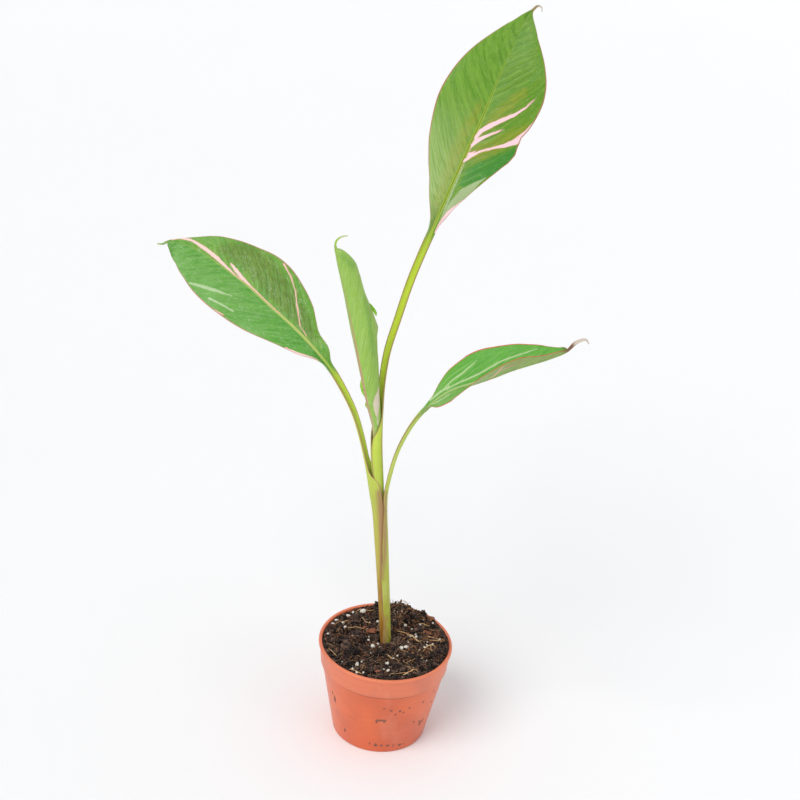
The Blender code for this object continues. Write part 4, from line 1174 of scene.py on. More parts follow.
def skin(name, tones, stalk, rib, roughness, ribs=8.5, nerves=3.9, contrast=1.0, leaf_sheen=(0.0, 0.0, 1.0),
         dust=0.6, edge_from=0.970, thread_from=8.0):
    """A leaf's skin on one face.

    tones   left, right, dark, light, shade: the halves' greens and the tones streaked through them,
        with light also painted on the ribs and shade painted in their troughs
        pink, cream, brown, deep: the marks, which on the rolled leaf include painted shade,
        blush: round the pink ones, edge: the margin
            tip, thread: the dry drip tip, which starts tip_from mm from the blade's foot
            stem_light, stem_edge, stem_brown, stem_deep: the same on the stalk and sheath
            stem_old: streaks on the sheath below the place old_below, in mm from the blade's foot
    stalk   stops of colour [(mm from the blade's foot, colour), ...] down the stalk and sheath
    rib     the midrib's colour in the middle and at its sides, and its half width in mm at the
            foot, half way and at the tip
    ribs, nerves, contrast  spacing in mm of ribs and of nerves, and how strongly they show
    leaf_sheen    how strong a pale painted sheen lies on the left half, and from where to where it grows, in mm
    dust    how much pale dust lies on the blade
    edge_from, thread_from  where the margin's tone starts, as a share of the half's width, and
            how far past the blade's tip the drip tip turns pale, in mm
    """
    made, wiring, shader = new_material(name, roughness)
    leaf_map, vein_map = wiring.uv("leaf"), wiring.uv("vein")
    along, across = wiring.parts(leaf_map)[:2]
    pink, cream = wiring.parts(wiring.uv("streaks"))[:2]
    brown, deep = wiring.parts(wiring.uv("patches"))[:2]
    margin = wiring.calc("ABSOLUTE", wiring.parts(vein_map)[1])
    side = wiring.rise(across, -0.01, 0.01)
    along_mm = wiring.times(along, 100.0)
    far_mm = wiring.times(wiring.calc("ABSOLUTE", across), 100.0)

    def streaks(fineness, low, high):
        return wiring.group(streak_group, "Mask", {
            "Vein": vein_map, "Fineness": fineness, "Low": low, "High": high})

    def uneven(over, amounts, scale, detail, depth):
        """Noise over a map stretched by two amounts, from -depth / 2 to depth / 2."""
        value = wiring.noise(wiring.stretch(over, (*amounts, 1.0)), scale, detail)
        return wiring.times(wiring.less(value, 0.5), depth)

    def inside_mark(mark, ragged, low, high):
        return wiring.rise(wiring.plus(mark, ragged), low, high)

    green = wiring.mix(side, paint(tones["left"]), paint(tones["right"]))
    fine = streaks(6.5, 0.40, 0.60)
    for tone, mask, share in (("dark", streaks(1.2, 0.42, 0.64), 0.80),
                              ("light", streaks(3.4, 0.50, 0.74), 0.55), ("shade", fine, 0.30),
                              ("light", streaks(9.0, 0.56, 0.68), 0.45)):
        green = wiring.tint(green, tones[tone], mask, share)
    soft = uneven(vein_map, (14.0, 2.0), 1.6, 4.0, 0.9)
    blotch = uneven(vein_map, (70.0, 9.0), 1.5, 3.0, 1.7)
    green = wiring.tint(green, tones["deep"], inside_mark(deep, soft, -0.20, 0.20), 0.9)
    brown_mask = inside_mark(wiring.plus(brown, soft), blotch, -0.40, 0.40)
    brown_mask = wiring.times(brown_mask, wiring.plus(wiring.times(fine, 0.5), 0.5))
    green = wiring.tint(green, tones["brown"], brown_mask, 0.92)

    lines = {"Vein": vein_map, "Rib Spacing": ribs, "Nerve Spacing": nerves}
    # Paler nerves, with painted light on the crests of the ribs and painted shade in the troughs between
    # them.
    for tone, line, share in (("light", "Nerves", 0.22), ("light", "Ribs", 0.20), ("shade", "Troughs", 0.36)):
        green = wiring.tint(green, tones[tone], wiring.group(vein_group, line, lines), share * contrast)

    # A pale greyish painted sheen on the left half, patchy and weaker at the midrib.
    painted_leaf_sheen = wiring.times(wiring.rise(along_mm, leaf_sheen[1], leaf_sheen[2]), wiring.rest(side))
    patchy = wiring.rise(wiring.noise(wiring.stretch(vein_map, (26.0, 2.6, 1.0)), 1.5, 3.0), 0.15, 0.65)
    painted_leaf_sheen = wiring.times(wiring.times(painted_leaf_sheen, patchy), wiring.rise(far_mm, -14.0, 16.0))
    green = wiring.tint(green, "#B9C98A", painted_leaf_sheen, leaf_sheen[0])

    ragged = uneven(vein_map, (60.0, 5.0), 1.5, 3.0, 0.22)
    green = wiring.tint(green, tones["cream"], inside_mark(cream, ragged, -0.05, 0.06), 0.85)
    rosy = wiring.mix(wiring.rise(pink, 0.0, 0.07), paint(tones["blush"]), paint(tones["pink"]))
    pink_mask = inside_mark(pink, ragged, -0.02, 0.03)
    green = wiring.mix(pink_mask, green, rosy)

    dots = wiring.group(dust_group, "Mask", {"Vector": leaf_map, "Scale": 95.0, "Amount": 1.15})
    fine_dots = wiring.group(dust_group, "Mask", {"Vector": leaf_map, "Scale": 230.0, "Amount": 1.4})
    dusty = wiring.calc("MAXIMUM", wiring.times(dots, 0.70 * dust), wiring.times(fine_dots, 0.45 * dust))
    green = wiring.tint(green, "#DDE8CE", dusty)
    rim = wiring.times(wiring.rise(margin, edge_from, edge_from + 0.016), wiring.rise(along, 0.05, 0.18))
    green = wiring.tint(green, tones["edge"], rim)

    centre, flank, foot_width, middle_width, tip_width = rib
    tip_from = tones["tip_from"]
    width = wiring.calc(
        "MINIMUM",
        wiring.node("MapRange", {0: along_mm, 1: 0.0, 2: 0.5 * tip_from, 3: foot_width, 4: middle_width}),
        wiring.node("MapRange", {0: along_mm, 1: 0.5 * tip_from, 2: tip_from, 3: middle_width, 4: tip_width}))
    reach = wiring.calc("DIVIDE", far_mm, width)
    fading = wiring.node("MapRange", {0: along_mm, 1: 0.45 * tip_from, 2: 0.85 * tip_from, 3: 1.0, 4: 0.15})
    near_rib = wiring.times(wiring.rest(wiring.rise(reach, 0.80, 1.20)), fading)
    groove = wiring.rest(wiring.rise(reach, 0.10, 0.50))
    rib_tone = wiring.mix(groove, paint(flank), paint(centre))

    length = wiring.noise(wiring.stretch(leaf_map, (3.0, 60.0, 1.0)), 1.5, 4.0)
    grain = wiring.times(wiring.less(length, 0.5), 0.6)
    low_down = wiring.rise(along_mm, tones["old_below"] + 30.0, tones["old_below"] - 30.0)
    mottled = wiring.noise(wiring.stretch(leaf_map, (9.0, 110.0, 1.0)), 1.3, 5.0)
    mottled = wiring.times(wiring.rise(mottled, 0.40, 0.58), low_down)
    stem = wiring.bands(along_mm, [(s, paint(code)) for s, code in stalk])
    stem = wiring.tint(stem, tones["stem_light"], wiring.rise(length, 0.42, 0.70), 0.35)
    stem = wiring.tint(stem, tones["stem_old"], mottled, 0.75)
    stem = wiring.tint(stem, tones["stem_brown"], inside_mark(brown, grain, -0.24, 0.20), 0.80)
    stem = wiring.tint(stem, tones["stem_deep"], inside_mark(deep, grain, -0.08, 0.10), 0.85)
    stem = wiring.mix(wiring.rise(pink, -0.02, 0.03), stem, rosy)
    stem = wiring.tint(stem, tones["stem_edge"], wiring.rise(margin, 0.90, 0.97), 0.85)

    rib_tone = wiring.mix(wiring.rise(along, -0.05, 0.25), stem, rib_tone)
    rib_tone = wiring.mix(pink_mask, rib_tone, rosy)
    colour = wiring.mix(near_rib, green, rib_tone)
    colour = wiring.mix(wiring.rise(along, -0.10, 0.02), stem, colour)
    colour = wiring.tint(colour, tones["tip"], wiring.rise(along_mm, tip_from, tip_from + 9.0))
    pale_from = tip_from + thread_from
    colour = wiring.tint(colour, tones["thread"], wiring.rise(along_mm, pale_from, pale_from + 5.0))
    wiring.feed(shader.inputs["Base Color"], colour)

    wax = wiring.noise(leaf_map, 9.0, 4.0)
    wiring.feed(shader.inputs["Roughness"], wiring.plus(wiring.times(wax, 0.25), roughness - 0.12))
    on_blade = wiring.rise(along, 0.02, 0.10)
    relief = wiring.group(vein_group, "Height", lines)
    relief = wiring.times(relief, wiring.times(on_blade, wiring.rest(near_rib)))
    relief = wiring.less(relief, wiring.times(groove, on_blade))
    relief = wiring.plus(relief, wiring.times(length, wiring.less(1.6, on_blade)))
    wiring.feed(shader.inputs["Normal"], wiring.bump(relief, 0.22, 0.0003))
    shader.inputs["Specular IOR Level"].default_value = 0.25
    return made


# Right leaf
# The oldest leaf: its sheath is the outermost wrap of the stem, closed nearly all the way
# round. Its stalk arches right and its blade hangs folded, so part of its underside shows.

right_leaf = Leaf(
    -10.0, (0.0050, 0.00635), 0.0009, 0.232, (2.95, 1.50, 0.25),
    stalk=[
        ((-0.0098, -0.0012, 0.2423), (-0.98, 0.16, 0.05)),
        ((-0.0080, -0.0020, 0.2665), (-0.97, 0.15, 0.10)),
        ((-0.0050, -0.0030, 0.2847), (-0.95, 0.15, 0.20)),
        ((0.0011, -0.0050, 0.3047), (-0.90, 0.12, 0.35)),
        ((0.0083, -0.0070, 0.3214), (-0.80, 0.10, 0.55)),
        ((0.0148, -0.0090, 0.3328), (-0.70, 0.05, 0.70)),
    ],
    blade=[
        ((0.0250, -0.0110, 0.3458), (-0.60, 0.00, 0.80)),
        ((0.0373, -0.0130, 0.3568), (-0.50, 0.05, 0.85)),
        ((0.0513, -0.0160, 0.3648), (-0.45, 0.08, 0.88)),
        ((0.0668, -0.0190, 0.3738), (-0.45, 0.08, 0.88)),
        ((0.0819, -0.0220, 0.3836), (-0.45, 0.08, 0.88)),
        ((0.0971, -0.0250, 0.3920), (-0.45, 0.08, 0.88)),
        ((0.1113, -0.0280, 0.4000), (-0.50, 0.08, 0.86)),
        ((0.1238, -0.0300, 0.4086), (-0.55, 0.08, 0.83)),
    ],
    tail=[
        ((0.1306, -0.0310, 0.4177), (-0.35, -0.70, 0.60)),
        ((0.1367, -0.0310, 0.4201), (-0.10, -0.60, 0.80)),
        ((0.1395, -0.0310, 0.4168), (0.50, -0.50, 0.70)),
    ],
    halves=(
        Half(0.0255, 0.47, 1.70, 0.60, fold=(0.70, 1.00, 0.95, 0.80, 0.70), droop=0.20,
             wave=0.0006, open_at=0.24,
             trim=((0.0, 0.4), (0.10, 0.42), (0.16, 0.70), (0.22, 0.85), (0.30, 0.93), (0.36, 0.96),
                   (0.45, 0.95), (0.55, 0.94), (0.70, 0.95), (0.84, 0.88), (0.93, 0.72), (1.0, 0.7))),
        Half(0.0240, 0.42, 1.05, 0.85, fold=(-0.10, 0.00, 0.55, 0.85, 0.90), droop=0.10,
             wave=0.0006, phase=1.0, open_at=0.13,
             trim=((0.0, 0.2), (0.05, 0.35), (0.10, 0.62), (0.16, 0.74), (0.22, 0.76), (0.30, 0.78),
                   (0.36, 0.85), (0.44, 0.94), (0.55, 1.0), (1.0, 1.0))),
    ),
    vein_slope=2.2,
    wings=(
        ((0.0, 2.30, 0.0050), (0.1200, 2.00, 0.0059), (0.1777, 1.45, 0.00635), (0.1857, 1.10, 0.0061),
         (0.1937, 0.95, 0.0052), (0.2017, 1.10, 0.0040), (0.2097, 1.28, 0.0032), (0.2257, 1.15, 0.00313)),
        ((0.0, 2.40, 0.0050), (0.0350, 1.75, 0.00527), (0.0625, 1.42, 0.00547), (0.1050, 1.52, 0.0058),
         (0.1250, 1.38, 0.0060), (0.1500, 1.05, 0.0062), (0.1777, 0.70, 0.00625), (0.1870, 0.92, 0.0056),
         (0.1937, 1.06, 0.0046), (0.2017, 1.18, 0.0035), (0.2097, 1.30, 0.0030), (0.2257, 1.15, 0.00313)),
    ),
    tail_width=0.0025,
)
right_tones = dict(
    left="#60AC38", right="#80B252", dark="#4F9E32", light="#A0CC74", shade="#4A922E", pink="#F3C9BA",
    blush="#E79A80", edge="#C8644A", cream="#C2D6A0", brown="#A87C5E", deep="#7FB255", tip="#7E5A40",
    tip_from=129.0, stem_light="#CBD08A", stem_edge="#A0704F", stem_brown="#A8805C", stem_deep="#5E5A2C",
    thread="#CFC3B4", stem_old="#A06C28", old_below=-212.0)
right_stalk = [
    (-285, "#9DB22A"), (-240, "#A2B834"), (-200, "#AEB646"), (-110, "#B6C052"), (-60, "#BECF60"),
    (-20, "#B6CC5A"), (5, "#A6C45C")]
right_marks = dict(
    pink=[[(66.0, 2.0, 0.4), (75.0, 9.0, 0.9), (86.0, 18.6, 0.6)], [(78.0, 10.5, 0.5), (92.0, 12.0, 0.3)]],
    cream=[[(25.0, -4.9, 0.4), (40.0, -10.2, 0.8), (58.0, -18.5, 0.3)],
           [(28.0, -3.0, 0.6), (58.0, -7.0, 0.8), (76.0, -10.6, 0.8), (110.0, -12.2, 0.3)],
           [(10.0, -4.0, 1.0), (30.0, -4.5, 0.9)], [(8.0, 4.0, 1.2), (30.0, 6.0, 1.0)]],
    brown=[[(-176.0, 7.2, 0.8), (-152.0, 5.6, 1.9), (-132.0, 4.2, 2.1), (-110.0, 2.9, 1.7),
            (-88.0, 3.0, 0.6)],
           [(-285.0, 9.5, 3.5), (-262.0, 9.0, 3.2), (-240.0, 7.4, 2.2), (-216.0, 6.6, 0.8)],
           [(84.0, 12.0, 0.4), (98.0, 13.0, 0.8)]],
    deep=[[(60.0, 8.0, 2.0), (90.0, 7.0, 1.5)], [(-176.0, 8.6, 0.3), (-160.0, 8.1, 0.5), (-145.0, 7.3, 0.3)]])
right_upper = skin("right_leaf_upper", right_tones, right_stalk, ("#8FB25A", "#B4C68C", 2.4, 1.6, 0.5), 0.42,
                   contrast=0.5, leaf_sheen=(0.25, 45.0, 5.0), dust=0.4, edge_from=0.955, thread_from=11.5)
under_tones = dict(right_tones, left="#8FAE68", right="#8CAE54", dark="#7F9C4A", light="#B2C088",
                   shade="#7E8C4E", pink="#EBB9A2")
right_under = skin("right_leaf_under", under_tones, right_stalk, ("#AFBE62", "#B2B872", 2.0, 1.2, 0.6), 0.5,
                   edge_from=0.955, thread_from=11.5)
piece = grow("right_leaf_grown", right_leaf, [right_under, right_upper], right_marks)
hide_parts("right_leaf")


# Left leaf
# The next leaf in: its sheath shows as a strip down the stem's left side, then its stalk
# bends out left and its blade lies open, tilted towards the front.

left_leaf = Leaf(
    162.0, (0.0036, 0.0066), 0.0007, 0.232, (2.90, 1.95, 0.55),
    stalk=[
        ((-0.0246, 0.0020, 0.2450), (0.92, -0.36, 0.12)),
        ((-0.0270, 0.0028, 0.2582), (0.91, -0.38, 0.15)),
        ((-0.0303, 0.0045, 0.2727), (0.90, -0.40, 0.20)),
        ((-0.0361, 0.0070, 0.2931), (0.82, -0.45, 0.25)),
        ((-0.0441, 0.0105, 0.3145), (0.72, -0.50, 0.35)),
        ((-0.0541, 0.0150, 0.3321), (0.55, -0.58, 0.50)),
        ((-0.0668, 0.0210, 0.3491), (0.35, -0.66, 0.60)),
    ],
    blade=[
        ((-0.0765, 0.0260, 0.3583), (0.22, -0.72, 0.62)),
        ((-0.0976, 0.0370, 0.3742), (0.18, -0.74, 0.62)),
        ((-0.1198, 0.0480, 0.3876), (0.15, -0.74, 0.62)),
        ((-0.1431, 0.0590, 0.4017), (0.12, -0.74, 0.62)),
        ((-0.1664, 0.0680, 0.4131), (0.10, -0.74, 0.62)),
        ((-0.1856, 0.0740, 0.4217), (0.06, -0.74, 0.62)),
        ((-0.2006, 0.0770, 0.4263), (0.00, -0.74, 0.62)),
        ((-0.2137, 0.0790, 0.4264), (0.00, -0.74, 0.62)),
    ],
    tail=[
        ((-0.2189, 0.0800, 0.4234), (0.0, -0.74, 0.62)),
        ((-0.2234, 0.0810, 0.4230), (0.0, -0.74, 0.62)),
    ],
    halves=(
        Half(0.0350, 0.60, 0.80, 0.55, fold=(0.25, 0.22, 0.30), wave=0.0012, phase=0.5),
        Half(0.0350, 0.48, 2.00, 1.20, fold=(0.25, 0.25, 0.35), wave=0.0012, phase=2.0,
             trim=((0.0, 2.0), (0.02, 3.1), (0.045, 3.7), (0.06, 3.05), (0.075, 2.4), (0.10, 1.6),
                   (0.12, 1.22), (0.145, 0.98), (0.17, 0.90), (0.21, 0.94), (0.26, 1.0), (0.50, 1.0),
                   (0.62, 1.03), (0.72, 1.12), (0.80, 1.19), (0.86, 1.12), (0.92, 0.90), (1.0, 0.75))),
    ),
    flare=2.5,
    tail_width=0.0010,
    wings=(
        ((0.0, 2.90, 0.0036), (0.1200, 2.86, 0.0046), (0.1777, 2.82, 0.00585), (0.1950, 2.76, 0.0060),
         (0.2030, 2.50, 0.0060), (0.2060, 2.10, 0.0058), (0.2092, 1.62, 0.0053), (0.2130, 1.32, 0.0046),
         (0.2200, 1.20, 0.0037), (0.2257, 1.15, 0.00313)),
        None,
    ),
)
left_tones = dict(
    left="#62A640", right="#78A63C", dark="#529A36", light="#96C474", shade="#478A2E", pink="#F8D4CC",
    blush="#E8A79A", edge="#C18A70", cream="#BBD3A2", brown="#617829", deep="#68A038", tip="#8FB56A",
    tip_from=176.0, stem_light="#D0DA7A", stem_edge="#B98A6C", stem_brown="#A8755F",
    stem_deep="#9C5F2E",
    thread="#C0CA9C", stem_old="#8E5216", old_below=-205.0)
left_stalk = [
    (-310, "#8A4E16"), (-262, "#A06A1C"), (-225, "#B49038"), (-170, "#B8AC4C"), (-120, "#B2BC50"),
    (-70, "#C0D44C"), (-15, "#BED444"), (5, "#B0CA50")]
left_marks = dict(
    pink=[[(175.0, 1.5, 0.5), (170.0, 4.2, 0.9), (160.0, 5.6, 1.1), (148.0, 4.6, 1.7), (134.5, 3.4, 1.8),
           (125.0, 2.0, 1.2), (114.0, 0.6, 0.6), (104.0, 0.2, 0.4)],
          [(122.0, 6.3, 0.8), (116.0, 4.4, 1.7), (108.0, 2.4, 1.5), (97.0, 1.1, 0.8), (80.0, 0.8, 0.5),
           (62.0, 0.7, 0.3)],
          [(90.0, 34.0, 0.9), (78.0, 30.0, 0.7), (67.0, 24.0, 0.7), (55.0, 13.5, 0.6), (43.0, 4.5, 0.5),
           (32.0, 2.2, 0.3)],
          [(38.0, -18.4, 0.7), (30.0, -15.0, 1.1), (22.0, -11.7, 1.3), (15.0, -8.8, 1.2), (10.0, -7.2, 0.4)],
          [(112.0, -36.0, 0.3), (103.0, -35.0, 0.8), (96.0, -33.5, 0.4)]],
    cream=[[(140.5, -28.9, 0.8), (122.5, -22.8, 1.6), (103.0, -16.6, 0.3)],
           [(118.0, -30.0, 1.0), (92.0, -26.0, 0.6)],
           [(60.0, 18.0, 0.4), (46.0, 9.0, 0.3)], [(70.0, 22.0, 0.3), (52.0, 12.0, 0.3)]],
    brown=[[(30.0, 6.0, 3.0), (60.0, 12.0, 9.0), (85.0, 17.0, 12.0), (115.0, 20.0, 11.0), (132.0, 14.0, 6.0)],
           [(-222.0, -8.0, 1.2), (-185.0, -10.2, 2.0), (-160.0, -11.6, 2.4), (-130.0, -13.2, 2.8),
            (-113.0, -13.8, 1.6)]],
    deep=[[(160.0, 10.0, 3.0), (140.0, 24.0, 2.5), (110.0, 33.0, 2.5), (80.0, 36.0, 2.0)],
          [(-310.0, -6.0, 3.0), (-270.0, -6.0, 2.0)]])
left_upper = skin("left_leaf_upper", left_tones, left_stalk, ("#A6B44C", "#C4CE7C", 2.3, 1.1, 0.3), 0.40,
                  contrast=0.7, leaf_sheen=(0.12, 20.0, 110.0), dust=1.0)
under_tones = dict(left_tones, left="#8FB276", right="#8FA56B", dark="#7FA05F", light="#B2C99A",
                   shade="#76955A")
left_under = skin("left_leaf_under", under_tones, left_stalk, ("#A9B85E", "#B4C07A", 2.0, 1.2, 0.5), 0.5)
piece = grow("left_leaf_grown", left_leaf, [left_under, left_upper], left_marks)
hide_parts("left_leaf")


# Tall leaf
# The youngest open leaf: its long stalk rises from inside the other sheaths and its blade
# stands nearly upright, face to the front, with pink streaks across its right half.

FRONT = (-0.05, -0.88, 0.47)
tall_leaf = Leaf(
    50.0, (0.0026, 0.0042), 0.0007, 0.300, (2.85, 1.60, 0.55),
    stalk=[
        ((-0.0207, 0.0040, 0.3214), (-0.64, -0.77, 0.0)),
        ((-0.0213, 0.0055, 0.3461), (-0.60, -0.80, 0.0)),
        ((-0.0190, 0.0080, 0.3773), (-0.50, -0.85, 0.15)),
        ((-0.0133, 0.0125, 0.4031), (-0.40, -0.85, 0.25)),
        ((-0.0047, 0.0200, 0.4382), (-0.28, -0.87, 0.33)),
        ((0.0034, 0.0270, 0.4633), (-0.15, -0.88, 0.42)),
        ((0.0076, 0.0310, 0.4752), FRONT),
    ],
    blade=[
        ((0.0198, 0.0480, 0.5079), FRONT),
        ((0.0305, 0.0620, 0.5350), FRONT),
        ((0.0427, 0.0760, 0.5666), FRONT),
        ((0.0503, 0.0860, 0.5896), FRONT),
        ((0.0573, 0.0940, 0.6083), FRONT),
        ((0.0652, 0.1030, 0.6270), FRONT),
        ((0.0734, 0.1110, 0.6419), FRONT),
    ],
    tail=[
        ((0.0772, 0.1138, 0.6448), FRONT),
        ((0.0803, 0.1158, 0.6435), (0.5, -0.70, 0.5)),
        ((0.0812, 0.1168, 0.6394), (0.8, -0.50, 0.3)),
    ],
    halves=(
        Half(0.0405, 0.53, 1.10, 1.15, fold=(0.25, 0.22, 0.45), wave=0.0008,
             trim=((0.0, 1.0), (0.06, 0.93), (0.11, 0.87), (0.20, 0.87), (0.25, 0.92), (0.34, 0.955),
                   (0.45, 0.965), (0.60, 0.985), (0.75, 1.0), (1.0, 1.0))),
        Half(0.0430, 0.61, 0.80, 1.20, fold=(0.25, 0.20, 0.45), wave=0.0014, phase=1.2,
             trim=((0.0, 1.0), (0.05, 0.90), (0.11, 0.68), (0.18, 0.85), (0.25, 0.94), (0.32, 1.0),
                   (0.39, 1.05), (0.43, 1.02), (0.46, 0.94), (0.50, 0.87), (0.545, 0.91), (0.60, 0.94),
                   (0.66, 0.97), (0.75, 1.0), (1.0, 1.0))),
    ),
    tail_width=0.0009,
    wings=(
        ((0.0, 2.85, 0.0026), (0.1920, 2.80, 0.00386), (0.2080, 3.00, 0.0044), (0.2220, 3.00, 0.0047),
         (0.2350, 2.95, 0.0047), (0.2461, 2.60, 0.0046), (0.2540, 1.85, 0.0044), (0.2650, 1.32, 0.0039),
         (0.2941, 1.15, 0.00313)),
        ((0.0, 2.85, 0.0026), (0.1920, 3.05, 0.00386), (0.2080, 3.20, 0.0046), (0.2220, 3.25, 0.0050),
         (0.2350, 3.25, 0.0050), (0.2461, 3.05, 0.0048), (0.2540, 2.20, 0.0045), (0.2650, 1.45, 0.0039),
         (0.2941, 1.15, 0.00313)),
    ),
)
tall_tones = dict(
    left="#73A233", right="#64901E", dark="#588E22", light="#88AE42", shade="#507A1E", pink="#F9D0D4",
    blush="#EDB4B0", edge="#B07A58", cream="#A9BA8A", brown="#8F9426", deep="#3A862E", tip="#A2906C",
    tip_from=192.0, stem_light="#CCDA6A", stem_edge="#A88A5C", stem_brown="#9A6A52",
    stem_deep="#A3B04A",
    thread="#D6CDBC", stem_old="#A08A3A", old_below=-260.0)
tall_stalk = [
    (-430, "#8A8A3A"), (-240, "#B0C24C"), (-170, "#C6DA50"), (-120, "#D0E448"), (-90, "#C0D43A"),
    (-30, "#B8CE38"), (5, "#9CB83A")]
tall_marks = dict(
    pink=[[(84.0, 1.6, 1.2), (91.0, 3.6, 1.9), (96.0, 7.4, 2.1), (104.0, 14.5, 1.7), (112.0, 23.0, 1.3),
           (120.5, 29.9, 0.9), (131.5, 35.0, 0.3)],
          [(77.0, 1.6, 1.2), (82.0, 3.6, 1.9), (88.0, 8.4, 1.3), (94.0, 14.5, 0.9), (99.5, 20.5, 0.3)],
          [(63.0, 1.2, 1.1), (68.5, 4.0, 1.6), (75.0, 9.5, 0.9), (82.0, 18.0, 1.0), (88.0, 26.0, 1.6),
           (94.0, 32.4, 2.4), (104.0, 38.0, 2.1), (113.5, 41.0, 1.2), (126.0, 42.0, 0.5)],
          [(70.0, 3.0, 1.0), (74.5, 6.2, 0.5)],
          [(90.0, 1.6, 0.3), (73.0, 1.9, 0.5), (52.0, 2.0, 0.2)],
          [(1.0, 4.0, 1.0), (10.0, 6.0, 2.4), (20.0, 8.6, 2.8), (30.0, 12.5, 1.6), (37.0, 16.0, 0.3)]],
    cream=[[(14.0, 4.6, 1.6), (28.0, 8.0, 3.6), (40.0, 12.5, 4.2), (52.0, 19.0, 1.2), (58.0, 23.0, 0.2)],
           [(66.0, 2.0, 0.2), (50.0, 2.3, 0.6), (24.0, 2.8, 0.8), (4.0, 3.4, 0.6)]],
    brown=[[(69.0, 4.0, 5.0), (76.0, 11.0, 6.4), (87.0, 21.0, 5.4), (99.0, 30.0, 3.6), (108.0, 36.0, 1.6)],
           [(92.0, 4.5, 2.4), (104.0, 10.0, 5.0), (118.0, 17.0, 4.4), (132.0, 24.0, 2.0)],
           [(20.0, -4.5, 2.6), (60.0, -7.0, 4.4), (88.0, -8.0, 4.0), (110.0, -6.0, 1.6)],
           [(-150.0, 3.6, 0.9), (-110.0, 3.6, 0.5)], [(-210.0, 4.5, 1.6), (-150.0, 4.0, 1.2)]],
    deep=[[(46.0, 8.0, 3.0), (56.0, 13.0, 7.0), (68.0, 22.0, 7.5), (80.0, 32.0, 6.0), (92.0, 41.0, 3.0)]])
tall_upper = skin("tall_leaf_upper", tall_tones, tall_stalk, ("#6C8420", "#9AB036", 2.6, 1.4, 0.4), 0.40,
                  leaf_sheen=(0.6, 125.0, 30.0), dust=0.35)
under_tones = dict(tall_tones, left="#93B37A", right="#8DAB6E", dark="#82A062", light="#B6CBA0",
                   shade="#77965A")
tall_under = skin("tall_leaf_under", under_tones, tall_stalk, ("#A8B860", "#B4C07E", 2.0, 1.3, 0.5), 0.5)
piece = grow("tall_leaf_grown", tall_leaf, [tall_under, tall_upper], tall_marks)
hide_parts("tall_leaf")


# Rolled leaf
# The newest leaf, still rolled lengthwise into a scroll with its pale waxy underside out. It
# stands in the middle of the sheaths and leans left, and only its drip tip is free.

SCROLL_FACE = (0.74, 0.67, 0.0)
SCROLL_TRIM = ((0.0, 1.0), (0.25, 0.97), (0.42, 0.95), (0.49, 1.0), (0.535, 1.12), (0.57, 1.08),
               (0.62, 1.03), (0.75, 0.97), (0.85, 0.95), (0.93, 1.03), (1.0, 1.1))
rolled_leaf = Leaf(
    200.0, (0.0013, 0.0032), 0.0008, 0.2964, (2.70, 2.60, 0.80),
    stalk=[
        ((-0.0262, -0.0018, 0.3084), SCROLL_FACE),
    ],
    blade=[
        ((-0.0311, -0.0035, 0.3274), SCROLL_FACE),
        ((-0.0357, -0.0050, 0.3465), SCROLL_FACE),
        ((-0.0419, -0.0065, 0.3722), SCROLL_FACE),
        ((-0.0496, -0.0080, 0.4041), SCROLL_FACE),
        ((-0.0575, -0.0090, 0.4352), SCROLL_FACE),
        ((-0.0621, -0.0100, 0.4526), SCROLL_FACE),
        ((-0.0653, -0.0105, 0.4644), SCROLL_FACE),
        ((-0.0672, -0.0108, 0.4710), SCROLL_FACE),
    ],
    tail=[
        ((-0.0678, -0.0108, 0.4740), (0.94, 0.34, 0.1)),
        ((-0.0670, -0.0098, 0.4774), (0.90, 0.34, -0.3)),
        ((-0.0636, -0.0078, 0.4800), (0.50, 0.34, -0.8)),
        ((-0.0583, -0.0055, 0.4806), (0.10, 0.34, -0.9)),
    ],
    halves=(Half(0.0355, 0.54, 0.95, 0.78, wave=0.0, trim=SCROLL_TRIM),) * 2,
    tail_width=0.0019,
    scroll=((3.63, -0.10), (4.45, 0.20)),
    flare=2.5,
    vein_slope=2.6,
)
rolled_tones = dict(
    left="#9AC452", right="#9FC758", dark="#8DB84A", light="#B8D484", shade="#86A84E", pink="#DDD0B8",
    blush="#D2C2A4", edge="#8A9450", cream="#D5CDB6", brown="#9FB068", deep="#7FAC4A", tip="#9BC046",
    tip_from=167.0, stem_light="#C4CC86", stem_edge="#B98F6A", stem_brown="#A97A5A",
    stem_deep="#9CAA50",
    thread="#B9C48A", stem_old="#A08A3A", old_below=-200.0)
rolled_stalk = [
    (-260, "#A9A850"), (-120, "#A9B052"), (-40, "#A8B254"), (-6, "#B2AE6C"), (20, "#C9BCA0")]
rolled_marks = dict(
    pink=[[(12.0, -5.6, 0.9), (17.0, -6.6, 2.1), (24.0, -8.2, 3.5), (30.0, -10.6, 3.4), (36.0, -14.0, 1.8),
           (40.0, -17.0, 0.3)]],
    cream=[[(4.0, -4.6, 0.6), (18.0, -6.6, 0.4)]],
    # On the rolled leaf, the brown strokes are painted shade down the side of the scroll, and the deep
    # strokes are painted shade on the scroll and under the folded-over tip.
    brown=[[(60.0, -20.0, 2.0), (100.0, -25.0, 3.0), (140.0, -20.0, 2.0)]],
    deep=[[(70.0, -14.0, 2.0), (120.0, -17.0, 2.0)], [(151.0, -12.0, 2.6), (161.0, -4.0, 2.0)]])
rolled_under = skin("rolled_leaf_under", rolled_tones, rolled_stalk, ("#B98F6C", "#BE9A78", 1.7, 1.3, 0.7),
                    0.45, ribs=5.3, nerves=1.5, contrast=0.5)
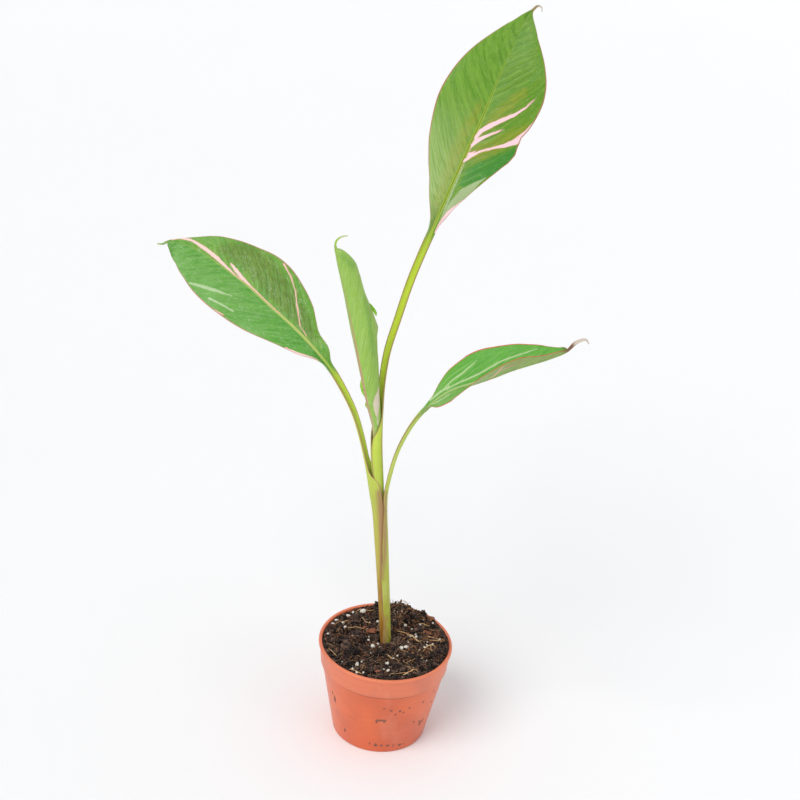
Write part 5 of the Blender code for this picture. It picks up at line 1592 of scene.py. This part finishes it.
upper_tones = dict(rolled_tones, left="#7CB42A", right="#7CB42A", dark="#6DA52A", light="#9AC64A",
                   shade="#649A28", edge="#7CB42A")
rolled_upper = skin("rolled_leaf_upper", upper_tones, rolled_stalk, ("#A3B84A", "#AFC25A", 2.0, 1.3, 0.5),
                    0.42)
piece = grow("rolled_leaf_grown", rolled_leaf, [rolled_under, rolled_upper], rolled_marks)
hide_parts("rolled_leaf")


def strips(routes, thick):
    """Points and faces of thin strips [(y, [(x, z, half width), ...]), ...] that face along y."""
    points, faces = [], []
    for y, marks in routes:
        start = len(points)
        places = [Vector((x, y, z)) for x, z, width in marks]
        for i, (p, (x, z, width)) in enumerate(zip(places, marks)):
            along = places[min(i + 1, len(places) - 1)] - places[max(i - 1, 0)]
            side = along.cross(Vector((0.0, 1.0, 0.0))).normalized() * width
            back = Vector((0.0, thick, 0.0))
            points += [p - side, p + side, p + side + back, p - side + back]
        faces += tube_faces(len(places), 4, start)
    return points, faces


# Folds of the rolled leaf's own upper side that peep out past the scroll, as strips takes them.
FOLDS = (
    (0.0008, ((-0.0383, 0.4216, 0.00028), (-0.0360, 0.4191, 0.00083), (-0.0337, 0.4158, 0.00138),
              (-0.0318, 0.4126, 0.00120), (-0.0310, 0.4105, 0.00018))),
    (-0.0016, ((-0.0389, 0.3547, 0.00028), (-0.0389, 0.3505, 0.00120), (-0.0384, 0.3459, 0.00156),
               (-0.0368, 0.3409, 0.00129), (-0.0342, 0.3355, 0.00028))),
    (-0.0008, ((-0.0345, 0.3313, 0.00028), (-0.0335, 0.3286, 0.00110), (-0.0316, 0.3250, 0.00037))),
)
FOLD_THICKNESS = 0.0005
fold_green, wiring, shader = new_material("young_fold", 0.42)
mottle = wiring.rise(wiring.noise(wiring.place(), 300.0), 0.35, 0.65)
wiring.feed(shader.inputs["Base Color"], wiring.mix(mottle, paint("#7CC01C"), paint("#B0D648")))
points, faces = strips(FOLDS, FOLD_THICKNESS)
piece = add_piece("rolled_leaf_folds", points, faces, [fold_green], sharp=50.0)
